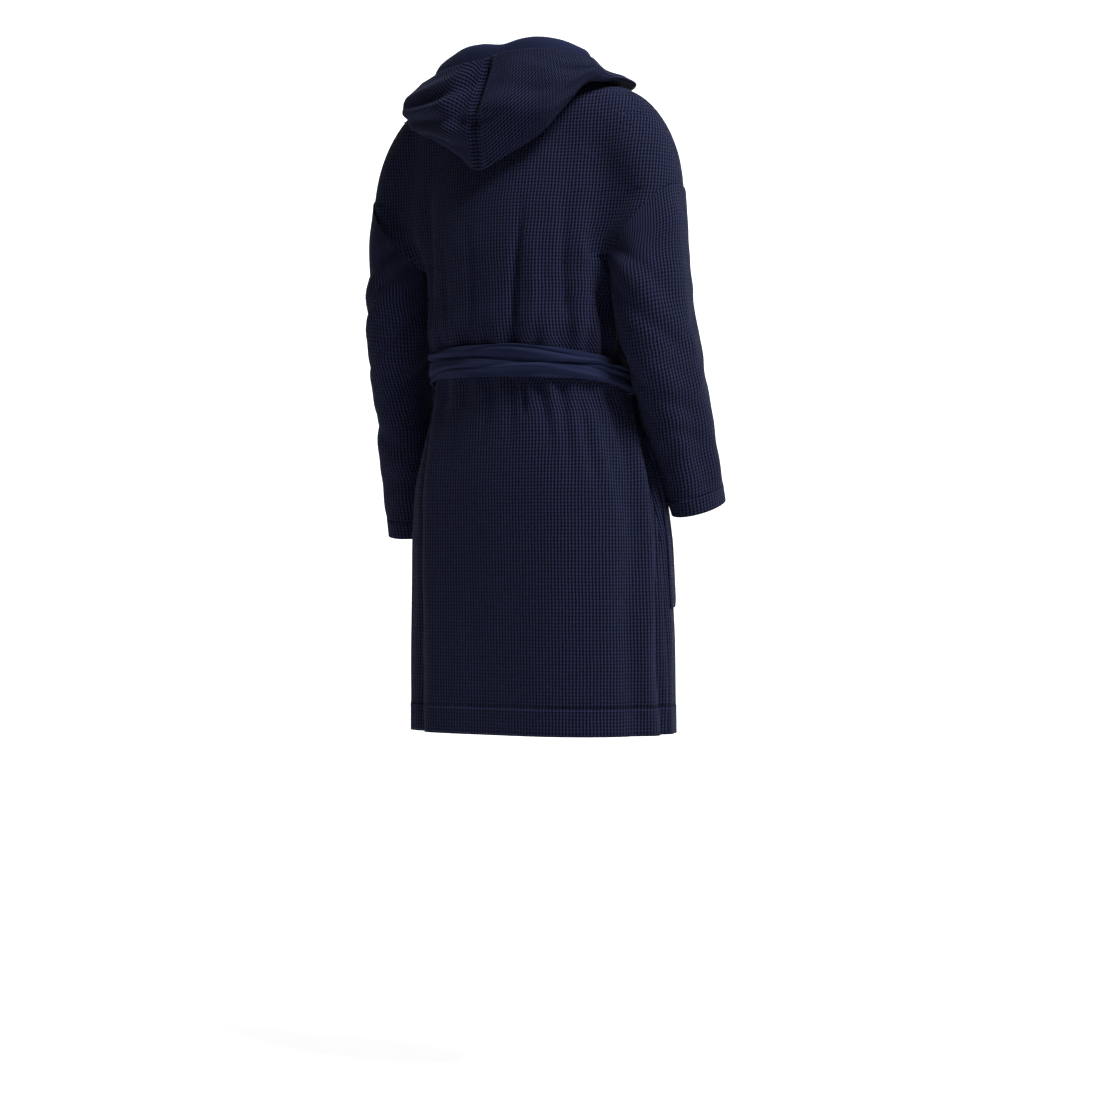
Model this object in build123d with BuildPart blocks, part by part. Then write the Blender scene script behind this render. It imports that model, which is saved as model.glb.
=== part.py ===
"""Hooded waffle-knit bathrobe, worn and tied, with nobody in it.

The frame is the wearer's: +Z is up, -Y is the front and +X is the wearer's left. The origin is the middle of
the neck opening, at the height where the shoulders carry the robe. The left front laps over the right one.
"""

from build123d import *

import os
from math import acos, asin, atan2, cos, degrees, hypot, radians, sin, sqrt

os.makedirs("parts", exist_ok=True)

# Driving dimensions, in mm.
NECK_TOP = 8.0
HEM_Z = -1046.0
HEM_DEPTH = 45.0
HEM_FOLD = 0.8  # how far the doubled hem stands proud on each face
CLOTH = 4.0
FACING = 1.6
SEWN_GAP = 0.1  # between two cloths that lie on each other
LAP_GAP = 8.0  # how far the left front stands out in front of the right one
BELT_WIDTH = 52.0
BELT_THICK = 3.0
BELT_BACK_Z = -453.0
BELT_FRONT_Z = -497.0
FLAP_TOP = -556.0  # below this the lap of the left front is free of the belt
CUT = 1.0  # gap along the lines where the lap bends
LAP_EDGE = 90.0  # how far each front passes the middle at the waist and below
V_EDGE = 58.0  # how far each front edge is from the middle at the neck
FOLD_TOP = 60.0  # where the lap folds open, measured from the middle
FOLD_BOTTOM = 80.0
FACING_WIDTH = 40.0
POCKET_TOP = -574.0
POCKET_BOTTOM = -845.0
POCKET_BAND = 40.0
POCKET_CLOTH = 2.4
POCKET_ROOM = 8.0
POCKET_SPAN = (11.0, 52.0)  # degrees round the front, from the side seam
SEAM = 9.0
CUFF_DEPTH = 28.0

# Height, half width and half depth of the body, from the hem up to the neck.
BODY = (
    (HEM_Z, 222, 150),
    (-900, 221, 150),
    (-740, 215, 148),
    (-630, 200, 141),
    (FLAP_TOP, 170, 124),
    (-492, 167, 121),
    (-428, 166, 121),
    (-345, 165, 126),
    (-300, 170, 125),
    (-188, 262, 118),
    (-140, 254, 109),
    (-94, 243, 98),
    (-70, 228, 91),
    (-47, 205, 82),
    (-30, 172, 76),
    (-10, 122, 69),
    (NECK_TOP, 84, 64),
)
# The hem hangs to the wearer's right and forward of the neck by these.
HEM_LEAN = (-12.0, -30.0)

# The armhole is an oval from the armpit up to the top of the dropped shoulder.
ARMPIT = (170.0, -300.0)
SHOULDER_POINT = (262.0, -188.0)
ARMHOLE_HALF_DEPTH = 74.0
ARMHOLE_LEVELS = (-292, -276, -244, -212, -196)
SLEEVE_GAP = 1.0

# Centre, radius across and radius front to back down each sleeve, with X measured outwards.
SLEEVES = {
    "left": (
        ((224, 0, -372), 55, 68),
        ((236, -22, -470), 52, 64),
        ((253, -46, -590), 49, 59),
        ((268, -74, -735), 48, 55),
    ),
    "right": (
        ((224, 2, -366), 55, 68),
        ((236, -24, -460), 52, 64),
        ((247, -62, -570), 49, 58),
        ((261, -99, -690), 47, 55),
    ),
}

# Distance out from the middle, centre (Y, Z), half depth and half height of the folded hood.
HOOD = (
    (0, 133, -46, 36, 100),
    (78, 118, -42, 29, 82),
    (128, 98, -34, 19, 54),
    (158, 76, -22, 13, 32),
    (170, 66, -18, 9, 20),
)
HOOD_LEAN = 14.0  # degrees that its upper edge leans to the neck
HOOD_CLOTH = 3.6
HOOD_LINING = 1.6
HOOD_START = 112.0  # where its inner layer ends, round each cross section, in degrees
HOOD_TURN = 296.0

KNOT_X = 120.0
KNOT_SIZE = (46.0, 24.0, 50.0)
TAIL_THICK = 2.6
TAIL_GAP = 3.0  # between the knot and the tails below it
TAIL_LENGTHS = {"left": 300.0, "right": 265.0}
# How far down, how wide and how far to its side of the knot each tail is.
TAIL = ((0.0, 20.0, 12.0), (0.3, 34.0, 20.0), (1.0, 44.0, 26.0))

LOOP_WIDTH = 64.0
LOOP_DROP = 46.0
LOOP_TAPE = 7.0


def lean(z):
    """How far the body's middle is shifted at a height."""
    share = max(0.0, (FLAP_TOP - z) / (FLAP_TOP - HEM_Z))
    return HEM_LEAN[0] * share, HEM_LEAN[1] * share


def blend(low, high, share):
    return low + (high - low) * share


def body_size(z):
    """Half width, half depth and, in degrees, where the armhole ends the cloth at a height."""
    for (z0, w0, d0), (z1, w1, d1) in zip(BODY, BODY[1:]):
        if z <= z1:
            share = (z - z0) / (z1 - z0)
            width, depth = blend(w0, w1, share), blend(d0, d1, share)
            break
    else:
        width, depth = BODY[-1][1:]
    if not ARMPIT[1] < z < SHOULDER_POINT[1]:
        return width, depth, 0.0
    share = (z - ARMPIT[1]) / (SHOULDER_POINT[1] - ARMPIT[1])
    reach = blend(ARMPIT[0], SHOULDER_POINT[0], share)
    opening = ARMHOLE_HALF_DEPTH * sqrt(1 - (2 * share - 1) ** 2)
    turn = asin(opening / depth)
    return reach / cos(turn), depth, degrees(turn)


def levels(low, high):
    """The heights of the cross sections between two heights."""
    every = {z for z, _, _ in BODY} | set(ARMHOLE_LEVELS)
    return [low, *sorted(z for z in every if low < z < high), high]


def slant(z):
    """How much longer the cloth's thickness is when it is measured level, at the sides and front to back."""
    low, high = max(HEM_Z, z - 9), min(NECK_TOP, z + 9)
    (w0, d0, _), (w1, d1, _) = body_size(low), body_size(high)
    return hypot(1, (w1 - w0) / (high - low)), hypot(1, (d1 - d0) / (high - low))


def cloth(side, low, high, start, end, out=0.0, thick=CLOTH, lap=0.0):
    """A piece of cloth that follows the body between two heights.

    side is "left", "right" or "back". start and end give how far round it the piece begins and ends, in
    degrees from the side seam, for a height and a half width. out moves its outer face off the body.
    """
    turn = {"left": lambda a: -a, "right": lambda a: 180 + a, "back": lambda a: a}[side]
    with BuildPart() as piece:
        for z in levels(low, high):
            width, depth, _ = body_size(z)
            wider, deeper = slant(z)
            with BuildSketch(Plane.XY.offset(z)):
                with BuildLine():
                    arcs = []
                    for off in (out, out - thick):
                        across = width + off * wider
                        ends = sorted((turn(start(z, across)), turn(end(z, across))))
                        size = (across, depth + lap + off * deeper)
                        arcs.append(EllipticalCenterArc(lean(z), *size, ends[0], arc_size=ends[1] - ends[0]))
                    Line(arcs[0] @ 0, arcs[1] @ 0)
                    Line(arcs[0] @ 1, arcs[1] @ 1)
                make_face()
        loft(ruled=True)
    return piece.part


def from_seam(z, across):
    """A piece that begins at its side seam, or at the armhole."""
    return body_size(z)[2]


def to_other_seam(z, across):
    return 180 - body_size(z)[2]


def at_angle(angle):
    return lambda z, across: angle


def edge_at(z):
    """How far past the middle a front's free edge is at a height."""
    share = min(1.0, max(0.0, (z - FLAP_TOP) / (NECK_TOP - FLAP_TOP)))
    return blend(-LAP_EDGE, V_EDGE, share)


def fold_at(z):
    """How far from the middle the lap folds open at a height."""
    return blend(FOLD_TOP, FOLD_BOTTOM, (FLAP_TOP - z) / (FLAP_TOP - HEM_Z))


def at_x(side, place, back_off=0.0):
    """A piece that ends at a distance from the middle, on one front."""
    way = 1 if side == "left" else -1

    def angle(z, across):
        reach = place(z) + back_off - way * lean(z)[0]
        return degrees(acos(max(-1.0, min(1.0, reach / across))))

    return angle


hem_top = HEM_Z + HEM_DEPTH
hem_faces = {"out": HEM_FOLD, "thick": CLOTH + 2 * HEM_FOLD}
pieces = {}

# The body of the robe and its hems.
pieces["back_panel"] = cloth("back", hem_top, NECK_TOP, from_seam, to_other_seam)
pieces["back_hem"] = cloth("back", HEM_Z, hem_top, from_seam, to_other_seam, **hem_faces)

for side, lap in (("left", LAP_GAP), ("right", 0.0)):
    edge = at_x(side, edge_at)
    facing = (at_x(side, edge_at, FACING_WIDTH), edge, -CLOTH - SEWN_GAP, FACING, lap)
    if side == "right":
        pieces["right_front"] = cloth(side, hem_top, NECK_TOP, from_seam, edge, lap=lap)
        pieces["right_front_hem"] = cloth(side, HEM_Z, hem_top, from_seam, edge, lap=lap, **hem_faces)
        pieces["right_facing"] = cloth(side, hem_top, NECK_TOP, *facing)
        continue
    fold = at_x(side, fold_at)
    fold_free = at_x(side, fold_at, -CUT)
    flap_top = FLAP_TOP - CUT
    pieces["left_front_upper"] = cloth(side, FLAP_TOP, NECK_TOP, from_seam, edge, lap=lap)
    pieces["left_front_lower"] = cloth(side, hem_top, FLAP_TOP, from_seam, fold, lap=lap)
    pieces["left_front_flap"] = cloth(side, hem_top, flap_top, fold_free, edge, lap=lap)
    pieces["left_front_hem"] = cloth(side, HEM_Z, hem_top, from_seam, fold, lap=lap, **hem_faces)
    pieces["left_flap_hem"] = cloth(side, HEM_Z, hem_top, fold_free, edge, lap=lap, **hem_faces)
    pieces["left_facing_upper"] = cloth(side, FLAP_TOP, NECK_TOP, *facing)
    pieces["left_flap_facing"] = cloth(side, hem_top, flap_top, *facing)

pieces["neck_tape"] = cloth("back", BODY[-2][0], NECK_TOP, at_angle(0), at_angle(180), -CLOTH - SEWN_GAP, 1.4)

# Patch pockets, each a bag that is open at its top, with a jersey band along its mouth.
for side, lap in (("left", LAP_GAP), ("right", 0.0)):
    start, end = POCKET_SPAN
    span = (at_angle(start), at_angle(end))
    room_span = (at_angle(start + 2), at_angle(end - 2))
    bag_out = POCKET_ROOM + POCKET_CLOTH
    bag = cloth(side, POCKET_BOTTOM, POCKET_TOP, *span, bag_out, bag_out - SEWN_GAP, lap)
    room = cloth(side, POCKET_BOTTOM + SEAM, POCKET_TOP + 1, *room_span, POCKET_ROOM, POCKET_ROOM + 1, lap)
    pieces[f"{side}_pocket"] = bag - room
    band_out = bag_out + SEWN_GAP + FACING
    pieces[f"{side}_pocket_band"] = cloth(side, POCKET_TOP - POCKET_BAND, POCKET_TOP, *span, band_out, FACING, lap)


def arm_plane(centre, way):
    """A plane across the left sleeve; way is the direction down the arm."""
    return Plane(origin=centre, x_dir=(-way[2], 0, way[0]), z_dir=way)


def sleeve_sections(side):
    """Plane, radius across and radius front to back, from the armhole down, as if for the left arm."""
    rise = (SHOULDER_POINT[0] - ARMPIT[0], SHOULDER_POINT[1] - ARMPIT[1])
    size = hypot(*rise)
    way = (rise[1] / size, 0, -rise[0] / size)
    middle = ((SHOULDER_POINT[0] + ARMPIT[0]) / 2, 0, (SHOULDER_POINT[1] + ARMPIT[1]) / 2)
    start = tuple(m + SLEEVE_GAP * w for m, w in zip(middle, way))
    rows = [(start, way, size / 2, ARMHOLE_HALF_DEPTH)]
    table = SLEEVES[side]
    for number, (centre, across, deep) in enumerate(table):
        before = table[number - 1][0] if number else middle
        after = table[number + 1][0] if number + 1 < len(table) else centre
        down = Vector(*after) - Vector(*before)
        rows.append((centre, tuple(down.normalized()), across, deep))
    share = 1 - CUFF_DEPTH / (Vector(*rows[-1][0]) - Vector(*rows[-2][0])).length
    hem = [tuple(blend(a, b, share) for a, b in zip(rows[-2][i], rows[-1][i])) for i in (0, 1)]
    rows.insert(-1, (*hem, *(blend(rows[-2][i], rows[-1][i], share) for i in (2, 3))))
    return [(arm_plane(centre, way), across, deep) for centre, way, across, deep in rows]


def tube(sections, out, thick):
    """A hollow tube through elliptical sections, open at both ends."""
    with BuildPart() as skin:
        for plane, across, deep in sections:
            with BuildSketch(plane):
                Ellipse(across + out, deep + out)
        loft(ruled=True)
    with BuildPart() as inside:
        for plane, across, deep in sections:
            with BuildSketch(plane):
                Ellipse(across + out - thick, deep + out - thick)
        loft(ruled=True)
    return skin.part - inside.part


for side in SLEEVES:
    sections = sleeve_sections(side)
    sleeve = tube(sections[:-1], 0, CLOTH)
    cuff = tube(sections[-2:], HEM_FOLD, CLOTH + 2 * HEM_FOLD)
    pieces[f"{side}_sleeve"] = sleeve if side == "left" else sleeve.mirror(Plane.YZ)
    pieces[f"{side}_cuff"] = cuff if side == "left" else cuff.mirror(Plane.YZ)


def hood_layer(side, inset, thick):
    """One half of the folded hood: two layers joined at the bottom, with a mouth that is open at the top."""
    sign = 1 if side == "left" else -1
    tilt = radians(HOOD_LEAN)
    with BuildPart() as layer:
        for x, y, z, deep, high in HOOD:
            out = (sign * max(x, 0.25), y, z)
            with BuildSketch(Plane(origin=out, x_dir=(0, cos(tilt), sin(tilt)), z_dir=(1, 0, 0))):
                with BuildLine():
                    sizes = [(deep - off, high - off) for off in (inset, inset + thick)]
                    arcs = [EllipticalCenterArc((0, 0), *size, HOOD_START, arc_size=HOOD_TURN) for size in sizes]
                    Line(arcs[0] @ 0, arcs[1] @ 0)
                    Line(arcs[0] @ 1, arcs[1] @ 1)
                make_face()
        loft(ruled=True)
    return layer.part


for side in SLEEVES:
    pieces[f"hood_{side}_panel"] = hood_layer(side, 0, HOOD_CLOTH)
    pieces[f"hood_{side}_lining"] = hood_layer(side, HOOD_CLOTH, HOOD_LINING)

# The belt lies lower in front than at the back.
waist_width, waist_depth, _ = body_size(BELT_BACK_Z)
belt_deep = waist_depth + (LAP_GAP + 3) / 2
belt_tilt = degrees(atan2(BELT_BACK_Z - BELT_FRONT_Z, 2 * belt_deep))
belt_middle = (0, -LAP_GAP / 2, (BELT_BACK_Z + BELT_FRONT_Z) / 2)
belt_plane = Plane(origin=belt_middle, x_dir=(1, 0, 0), z_dir=(0, -sin(radians(belt_tilt)), cos(radians(belt_tilt))))
belt_inside = (waist_width + 5.5, belt_deep / cos(radians(belt_tilt)) + 6.5)

with BuildPart() as belt:
    with BuildSketch(belt_plane):
        Ellipse(belt_inside[0] + BELT_THICK, belt_inside[1] + BELT_THICK)
        Ellipse(*belt_inside, mode=Mode.SUBTRACT)
    extrude(amount=BELT_WIDTH / 2, both=True)
pieces["belt"] = belt.part

# The knot and the two tails, which hang over the left front beside the fold of its lap.
knot_turn = degrees(asin(KNOT_X / belt_inside[0]))
knot_front = (belt_inside[1] + BELT_THICK) * cos(radians(knot_turn))
knot_face = atan2(belt_inside[1] * sin(radians(knot_turn)), belt_inside[0] * cos(radians(knot_turn)))
knot_way = (sin(knot_face), -cos(knot_face))
knot_z = BELT_FRONT_Z + 4
knot_off = KNOT_SIZE[1] / 2 + 5
knot_centre = (KNOT_X + knot_way[0] * knot_off, belt_middle[1] - knot_front + knot_way[1] * knot_off)
knot_plane = Plane(origin=(*knot_centre, knot_z), x_dir=(-knot_way[1], knot_way[0], 0), z_dir=(0, 0, 1))

with BuildPart() as belt_knot:
    with BuildSketch(knot_plane):
        RectangleRounded(KNOT_SIZE[0], KNOT_SIZE[1], 9)
    extrude(amount=KNOT_SIZE[2] / 2, both=True)
    fillet(belt_knot.faces().filter_by(Axis.Z).edges(), 8)
pieces["belt_knot"] = belt_knot.part

tail_top = knot_z - KNOT_SIZE[2] / 2 - TAIL_GAP
tail_off = LAP_GAP + POCKET_ROOM + POCKET_CLOTH + FACING + 6
for side, sign in (("left", 1), ("right", -1)):
    with BuildPart() as tail:
        for share, wide, shift in TAIL:
            z = tail_top - TAIL_LENGTHS[side] * share
            width, depth = (size + tail_off for size in body_size(z)[:2])
            middle = lean(z)
            x = KNOT_X + 6 + sign * shift * 0.85
            turn = asin((x - middle[0]) / width)
            centre = (x, middle[1] - depth * cos(turn), z)
            along = (width * cos(turn), depth * sin(turn), 0)
            with BuildSketch(Plane(origin=centre, x_dir=along, z_dir=(0, 0, 1))):
                Rectangle(wide, TAIL_THICK)
        loft(ruled=True)
    pieces[f"{side}_belt_tail"] = tail.part

# Belt carriers at the side seams.
for side, sign in (("left", 1), ("right", -1)):
    room = BELT_THICK + 2.5
    with BuildPart() as carrier:
        with Locations((sign * (waist_width + 4.6 + room / 2), belt_middle[1] + 4, belt_middle[2])):
            Box(room + 3.2, 9, BELT_WIDTH + 22)
            Box(room, 11, BELT_WIDTH + 18, mode=Mode.SUBTRACT)
    pieces[f"{side}_belt_loop"] = carrier.part

# The loop that the robe hangs on, inside the back of the neck.
with BuildPart() as hanging_loop:
    with BuildSketch(Plane.XZ.offset(-(body_size(NECK_TOP)[1] - CLOTH - 4.5))):
        with Locations((0, NECK_TOP - 4 - LOOP_DROP / 2)):
            RectangleRounded(LOOP_WIDTH, LOOP_DROP, 12)
            RectangleRounded(LOOP_WIDTH - 2 * LOOP_TAPE, LOOP_DROP - 2 * LOOP_TAPE, 6, mode=Mode.SUBTRACT)
    extrude(amount=0.9, both=True)
pieces["hanging_loop"] = hanging_loop.part

for name, piece in pieces.items():
    piece.label = name
    export_step(piece, f"parts/{name}.step")
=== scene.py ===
"""Hooded waffle-knit bathrobe, worn and tied, in a pale studio. Metres; +X wearer's left, -Y the front."""

from math import cos, pi, radians, sin

import bpy
import numpy as np
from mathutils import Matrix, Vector


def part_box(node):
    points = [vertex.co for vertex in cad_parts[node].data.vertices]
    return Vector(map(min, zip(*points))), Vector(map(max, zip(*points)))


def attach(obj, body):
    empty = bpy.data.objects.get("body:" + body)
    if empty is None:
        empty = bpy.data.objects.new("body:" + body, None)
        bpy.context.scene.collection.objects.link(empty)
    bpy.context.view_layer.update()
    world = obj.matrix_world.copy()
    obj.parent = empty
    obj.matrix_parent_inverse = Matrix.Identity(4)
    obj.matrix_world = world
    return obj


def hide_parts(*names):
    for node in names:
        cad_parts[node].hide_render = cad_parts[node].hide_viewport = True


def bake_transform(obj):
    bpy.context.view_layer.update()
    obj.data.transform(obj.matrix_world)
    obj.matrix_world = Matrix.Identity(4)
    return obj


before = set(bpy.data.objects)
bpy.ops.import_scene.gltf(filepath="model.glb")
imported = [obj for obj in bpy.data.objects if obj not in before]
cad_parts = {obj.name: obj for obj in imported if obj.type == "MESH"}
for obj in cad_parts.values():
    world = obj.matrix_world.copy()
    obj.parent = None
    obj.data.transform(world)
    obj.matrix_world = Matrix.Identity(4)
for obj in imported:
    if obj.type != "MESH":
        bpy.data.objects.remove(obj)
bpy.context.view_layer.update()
rng = np.random.default_rng(7)

# ---------------------------------------------------------------- the robe's form

HEM_Z = -1.046
HEM = 0.045
NECK_TOP = 0.008
ARMPIT = np.array((0.170, -0.300))
SHOULDER = np.array((0.262, -0.188))
ARM_N = np.array((SHOULDER[1] - ARMPIT[1], ARMPIT[0] - SHOULDER[0])) / np.hypot(*(SHOULDER - ARMPIT))
ARMHOLE_DEPTH = 0.074
LAP = 0.007

# Height, half width, half depth and middle (X, Y) of the trunk under the cloth.
TRUNK = np.array((
    (-1.060, 0.224, 0.150, -0.012, -0.030),
    (-0.900, 0.222, 0.150, -0.012, -0.028),
    (-0.740, 0.216, 0.149, -0.011, -0.024),
    (-0.650, 0.206, 0.145, -0.010, -0.020),
    (-0.570, 0.186, 0.134, -0.009, -0.016),
    (-0.520, 0.170, 0.125, -0.008, -0.012),
    (-0.470, 0.165, 0.121, -0.007, -0.008),
    (-0.420, 0.168, 0.124, -0.006, -0.006),
    (-0.340, 0.172, 0.129, -0.004, -0.003),
    (-0.270, 0.176, 0.129, -0.002, 0.000),
    (-0.200, 0.180, 0.123, 0.000, 0.000),
    (-0.140, 0.182, 0.112, 0.000, 0.000),
    (-0.090, 0.176, 0.100, 0.000, 0.000),
    (-0.050, 0.154, 0.088, 0.000, 0.000),
    (-0.020, 0.120, 0.077, 0.000, 0.000),
    (0.008, 0.086, 0.066, 0.000, 0.000),
    (0.040, 0.080, 0.062, 0.000, 0.000),
))
# Height, half width and half depth of the body pattern, from which each row of cloth is laid on the form.
PATTERN = np.array((
    (-1.060, 0.222, 0.150), (-0.900, 0.221, 0.150), (-0.740, 0.215, 0.148), (-0.630, 0.200, 0.141),
    (-0.556, 0.170, 0.124), (-0.492, 0.167, 0.121), (-0.428, 0.166, 0.121), (-0.345, 0.165, 0.126),
    (-0.300, 0.170, 0.125), (-0.188, 0.262, 0.118), (-0.140, 0.254, 0.109), (-0.094, 0.243, 0.098),
    (-0.070, 0.228, 0.091), (-0.047, 0.205, 0.082), (-0.030, 0.172, 0.076), (-0.010, 0.122, 0.069),
    (0.008, 0.084, 0.064),
))
# Centre, radius across and radius front to back down each arm, with X measured outwards.
ARMS = {
    1: (
        (0.100, 0.000, -0.060, 0.055, 0.060), (0.165, 0.000, -0.090, 0.065, 0.068),
        (0.197, 0.000, -0.135, 0.067, 0.072), (0.212, 0.000, -0.200, 0.066, 0.074),
        (0.221, 0.000, -0.290, 0.062, 0.074), (0.229, -0.002, -0.380, 0.057, 0.074),
        (0.240, -0.022, -0.470, 0.048, 0.070), (0.246, -0.048, -0.590, 0.046, 0.060),
        (0.253, -0.076, -0.723, 0.041, 0.055),
    ),
    -1: (
        (0.100, 0.000, -0.060, 0.055, 0.060), (0.165, 0.000, -0.090, 0.065, 0.068),
        (0.196, 0.000, -0.135, 0.066, 0.072), (0.208, 0.000, -0.200, 0.064, 0.074),
        (0.217, 0.000, -0.290, 0.060, 0.075), (0.227, -0.002, -0.370, 0.057, 0.077),
        (0.237, -0.024, -0.460, 0.053, 0.072), (0.247, -0.060, -0.565, 0.048, 0.060),
        (0.259, -0.098, -0.684, 0.039, 0.052),
    ),
}


def spline(table, count):
    """Points evenly spread along a smooth curve through the rows of a table."""
    rows = np.array(table, float)
    ends = np.vstack((2 * rows[0] - rows[1], rows, 2 * rows[-1] - rows[-2]))
    t = np.linspace(0, len(rows) - 1, 40 * len(rows))
    i = np.minimum(t.astype(int), len(rows) - 2)
    f = (t - i)[:, None]
    a, b, c, d = (ends[i + k] for k in range(4))
    curve = 0.5 * (2 * b + (c - a) * f + (2 * a - 5 * b + 4 * c - d) * f**2 + (3 * b - a - 3 * c + d) * f**3)
    step = np.linalg.norm(np.diff(curve[:, :3], axis=0), axis=1)
    along = np.concatenate(([0], np.cumsum(step)))
    want = np.linspace(0, along[-1], count)
    return np.stack([np.interp(want, along, curve[:, k]) for k in range(rows.shape[1])], axis=1)


def smoothed(table, width):
    """The table on fine heights, with its corners rounded over a width."""
    z = np.arange(table[0, 0] - 0.1, table[-1, 0] + 0.1, 0.002)
    out = [z]
    for k in range(1, table.shape[1]):
        v = np.interp(z, table[:, 0], table[:, k])
        half = int(3 * width / 0.002)
        w = np.exp(-0.5 * (np.arange(-half, half + 1) * 0.002 / width) ** 2)
        out.append(np.convolve(np.pad(v, half, "edge"), w / w.sum(), "valid"))
    return out


TRUNK_FINE = smoothed(TRUNK, 0.012)
ARM_FINE = {side: spline(rows, 90) for side, rows in ARMS.items()}


def smoothstep(low, high, v):
    t = np.clip((v - low) / (high - low), 0, 1)
    return t * t * (3 - 2 * t)


def bell(v):
    return np.exp(-0.5 * v**2)


def trunk_at(z):
    return [np.interp(z, TRUNK_FINE[0], TRUNK_FINE[k]) for k in (1, 2, 3, 4)]


def trunk_distance(p):
    width, deep, cx, cy = trunk_at(p[:, 2])
    x, y = p[:, 0] - cx, p[:, 1] - cy
    power = 2.25
    rho = (np.abs(x / width) ** power + np.abs(y / deep) ** power) ** (1 / power) + 1e-9
    r = np.hypot(x, y)
    flat = smoothstep(-0.12, -0.03, p[:, 2])
    return r * (1 - 1 / rho) * (1 - 0.55 * flat)


def arm_distance(p, side):
    """Distance from one sleeve's surface, and how far down the arm the point is, from 0 to 1."""
    q = p * np.array((side, 1, 1))
    line = ARM_FINE[side]
    gap = ((q[:, None, :] - line[None, :, :3]) ** 2).sum(2)
    i = gap.argmin(1)
    tangent = np.gradient(line[:, :3], axis=0)
    tangent /= np.linalg.norm(tangent, axis=1)[:, None]
    step = np.linalg.norm(line[1, :3] - line[0, :3])
    t = tangent[i]
    s = ((q - line[i, :3]) * t).sum(1)
    at = np.clip(i + s / step, 0, len(line) - 1)
    centre = np.stack([np.interp(at, np.arange(len(line)), line[:, k]) for k in range(3)], 1)
    across = np.interp(at, np.arange(len(line)), line[:, 3])
    deep = np.interp(at, np.arange(len(line)), line[:, 4])
    off = q - centre
    out = np.stack((-t[:, 2], np.zeros(len(t)), t[:, 0]), 1)
    out /= np.linalg.norm(out, axis=1)[:, None]
    fore = np.cross(t, out)
    u, v, w = (off * out).sum(1), (off * fore).sum(1), (off * t).sum(1)
    rho = np.sqrt((u / across) ** 2 + (v / deep) ** 2) + 1e-9
    r = np.sqrt(u * u + v * v + w * w)
    return r - np.sqrt(u * u + v * v) / rho, at / (len(line) - 1)


def soft_union(a, b, k):
    h = np.maximum(k - np.abs(a - b), 0) / np.maximum(k, 1e-6)
    return np.minimum(a, b) - h * h * k * 0.25


def form(p, part):
    """Distance from the robe's form: part 0 is the body, 1 and -1 are the sleeves."""
    trunk = trunk_distance(p)
    join = 0.050 * smoothstep(-0.36, -0.24, p[:, 2]) + 0.002
    if part == 0:
        upper = smoothstep(-0.315, -0.285, p[:, 2])
        got = trunk
        for side in (1, -1):
            arm = arm_distance(p, side)[0] + (1 - upper) * 0.2
            got = soft_union(got, arm, join)
        return got
    arm = arm_distance(p, part)[0]
    upper = smoothstep(-0.315, -0.285, p[:, 2])
    return soft_union(arm, trunk + (1 - upper) * 0.2, join)


def slope(p, part):
    e = 0.0008
    base = form(p, part)
    g = np.stack([(form(p + np.eye(3)[k] * e, part) - base) / e for k in range(3)], 1)
    return base, g


def seam_side(p, side):
    """Distance from the armhole seam's plane; the sleeve is on its positive side."""
    return ARM_N[0] * (side * p[:, 0] - ARMPIT[0]) + ARM_N[1] * (p[:, 2] - ARMPIT[1])


def lay(p, part, seam_rows=None, rounds=9, planes=None):
    """Moves points onto the form. seam_rows marks the points that stay on an armhole's plane."""
    p = p.copy()
    for _ in range(rounds):
        f, g = slope(p, part)
        if planes is not None:
            g -= (g * planes).sum(1)[:, None] * planes
        if seam_rows is not None:
            for side in (1, -1):
                mark = seam_rows == side
                n = np.array((side * ARM_N[0], 0, ARM_N[1]))
                g[mark] -= (g[mark] @ n)[:, None] * n
        size = (g * g).sum(1)
        step = np.clip(f / np.maximum(size, 0.15), -0.03, 0.03)
        p -= step[:, None] * g
        if part == 0:
            for side in (1, -1):
                over = seam_side(p, side)
                mark = (over > 0) & (p[:, 2] > ARMPIT[1] - 0.001) & (side * p[:, 0] > 0.15)
                p[mark] -= over[mark, None] * np.array((side * ARM_N[0], 0, ARM_N[1]))
    if part == 0:
        wall = np.interp(p[:, 2], (-0.44, -0.38, ARMPIT[1]), (0.1600, 0.1620, 0.1685))
        low = p[:, 2] < ARMPIT[1] + 0.002
        tight = low & (p[:, 2] > -0.46)
        p[tight, 0] = np.clip(p[tight, 0], -wall[tight], wall[tight])
    else:
        low = p[:, 2] < ARMPIT[1] + 0.02
        near = 0.1715
        p[low, 0] = part * np.maximum(part * p[low, 0], near)
    return p


# ---------------------------------------------------------------- folds

BELT_Z = -0.475
BELT_RISE = 0.022 / 0.121
BELT_HALF = 0.025


def belt_height(y):
    return BELT_Z + BELT_RISE * y


def waves(count, low, high, seed):
    r = np.random.default_rng(seed)
    return [(r.uniform(low, high), r.uniform(0, 2 * pi), r.uniform(-1, 1),
        r.uniform(0.5, 1)) for _ in range(count)]


def ripple(a, b, table, skew=1.0):
    """Smooth noise from -1 to 1 over two lengths, from a table of waves."""
    got = 0
    for k, phase, lean, size in table:
        got = got + size * np.sin(k * a + lean * skew * b + phase)
    return got / sum(t[3] for t in table)


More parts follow.
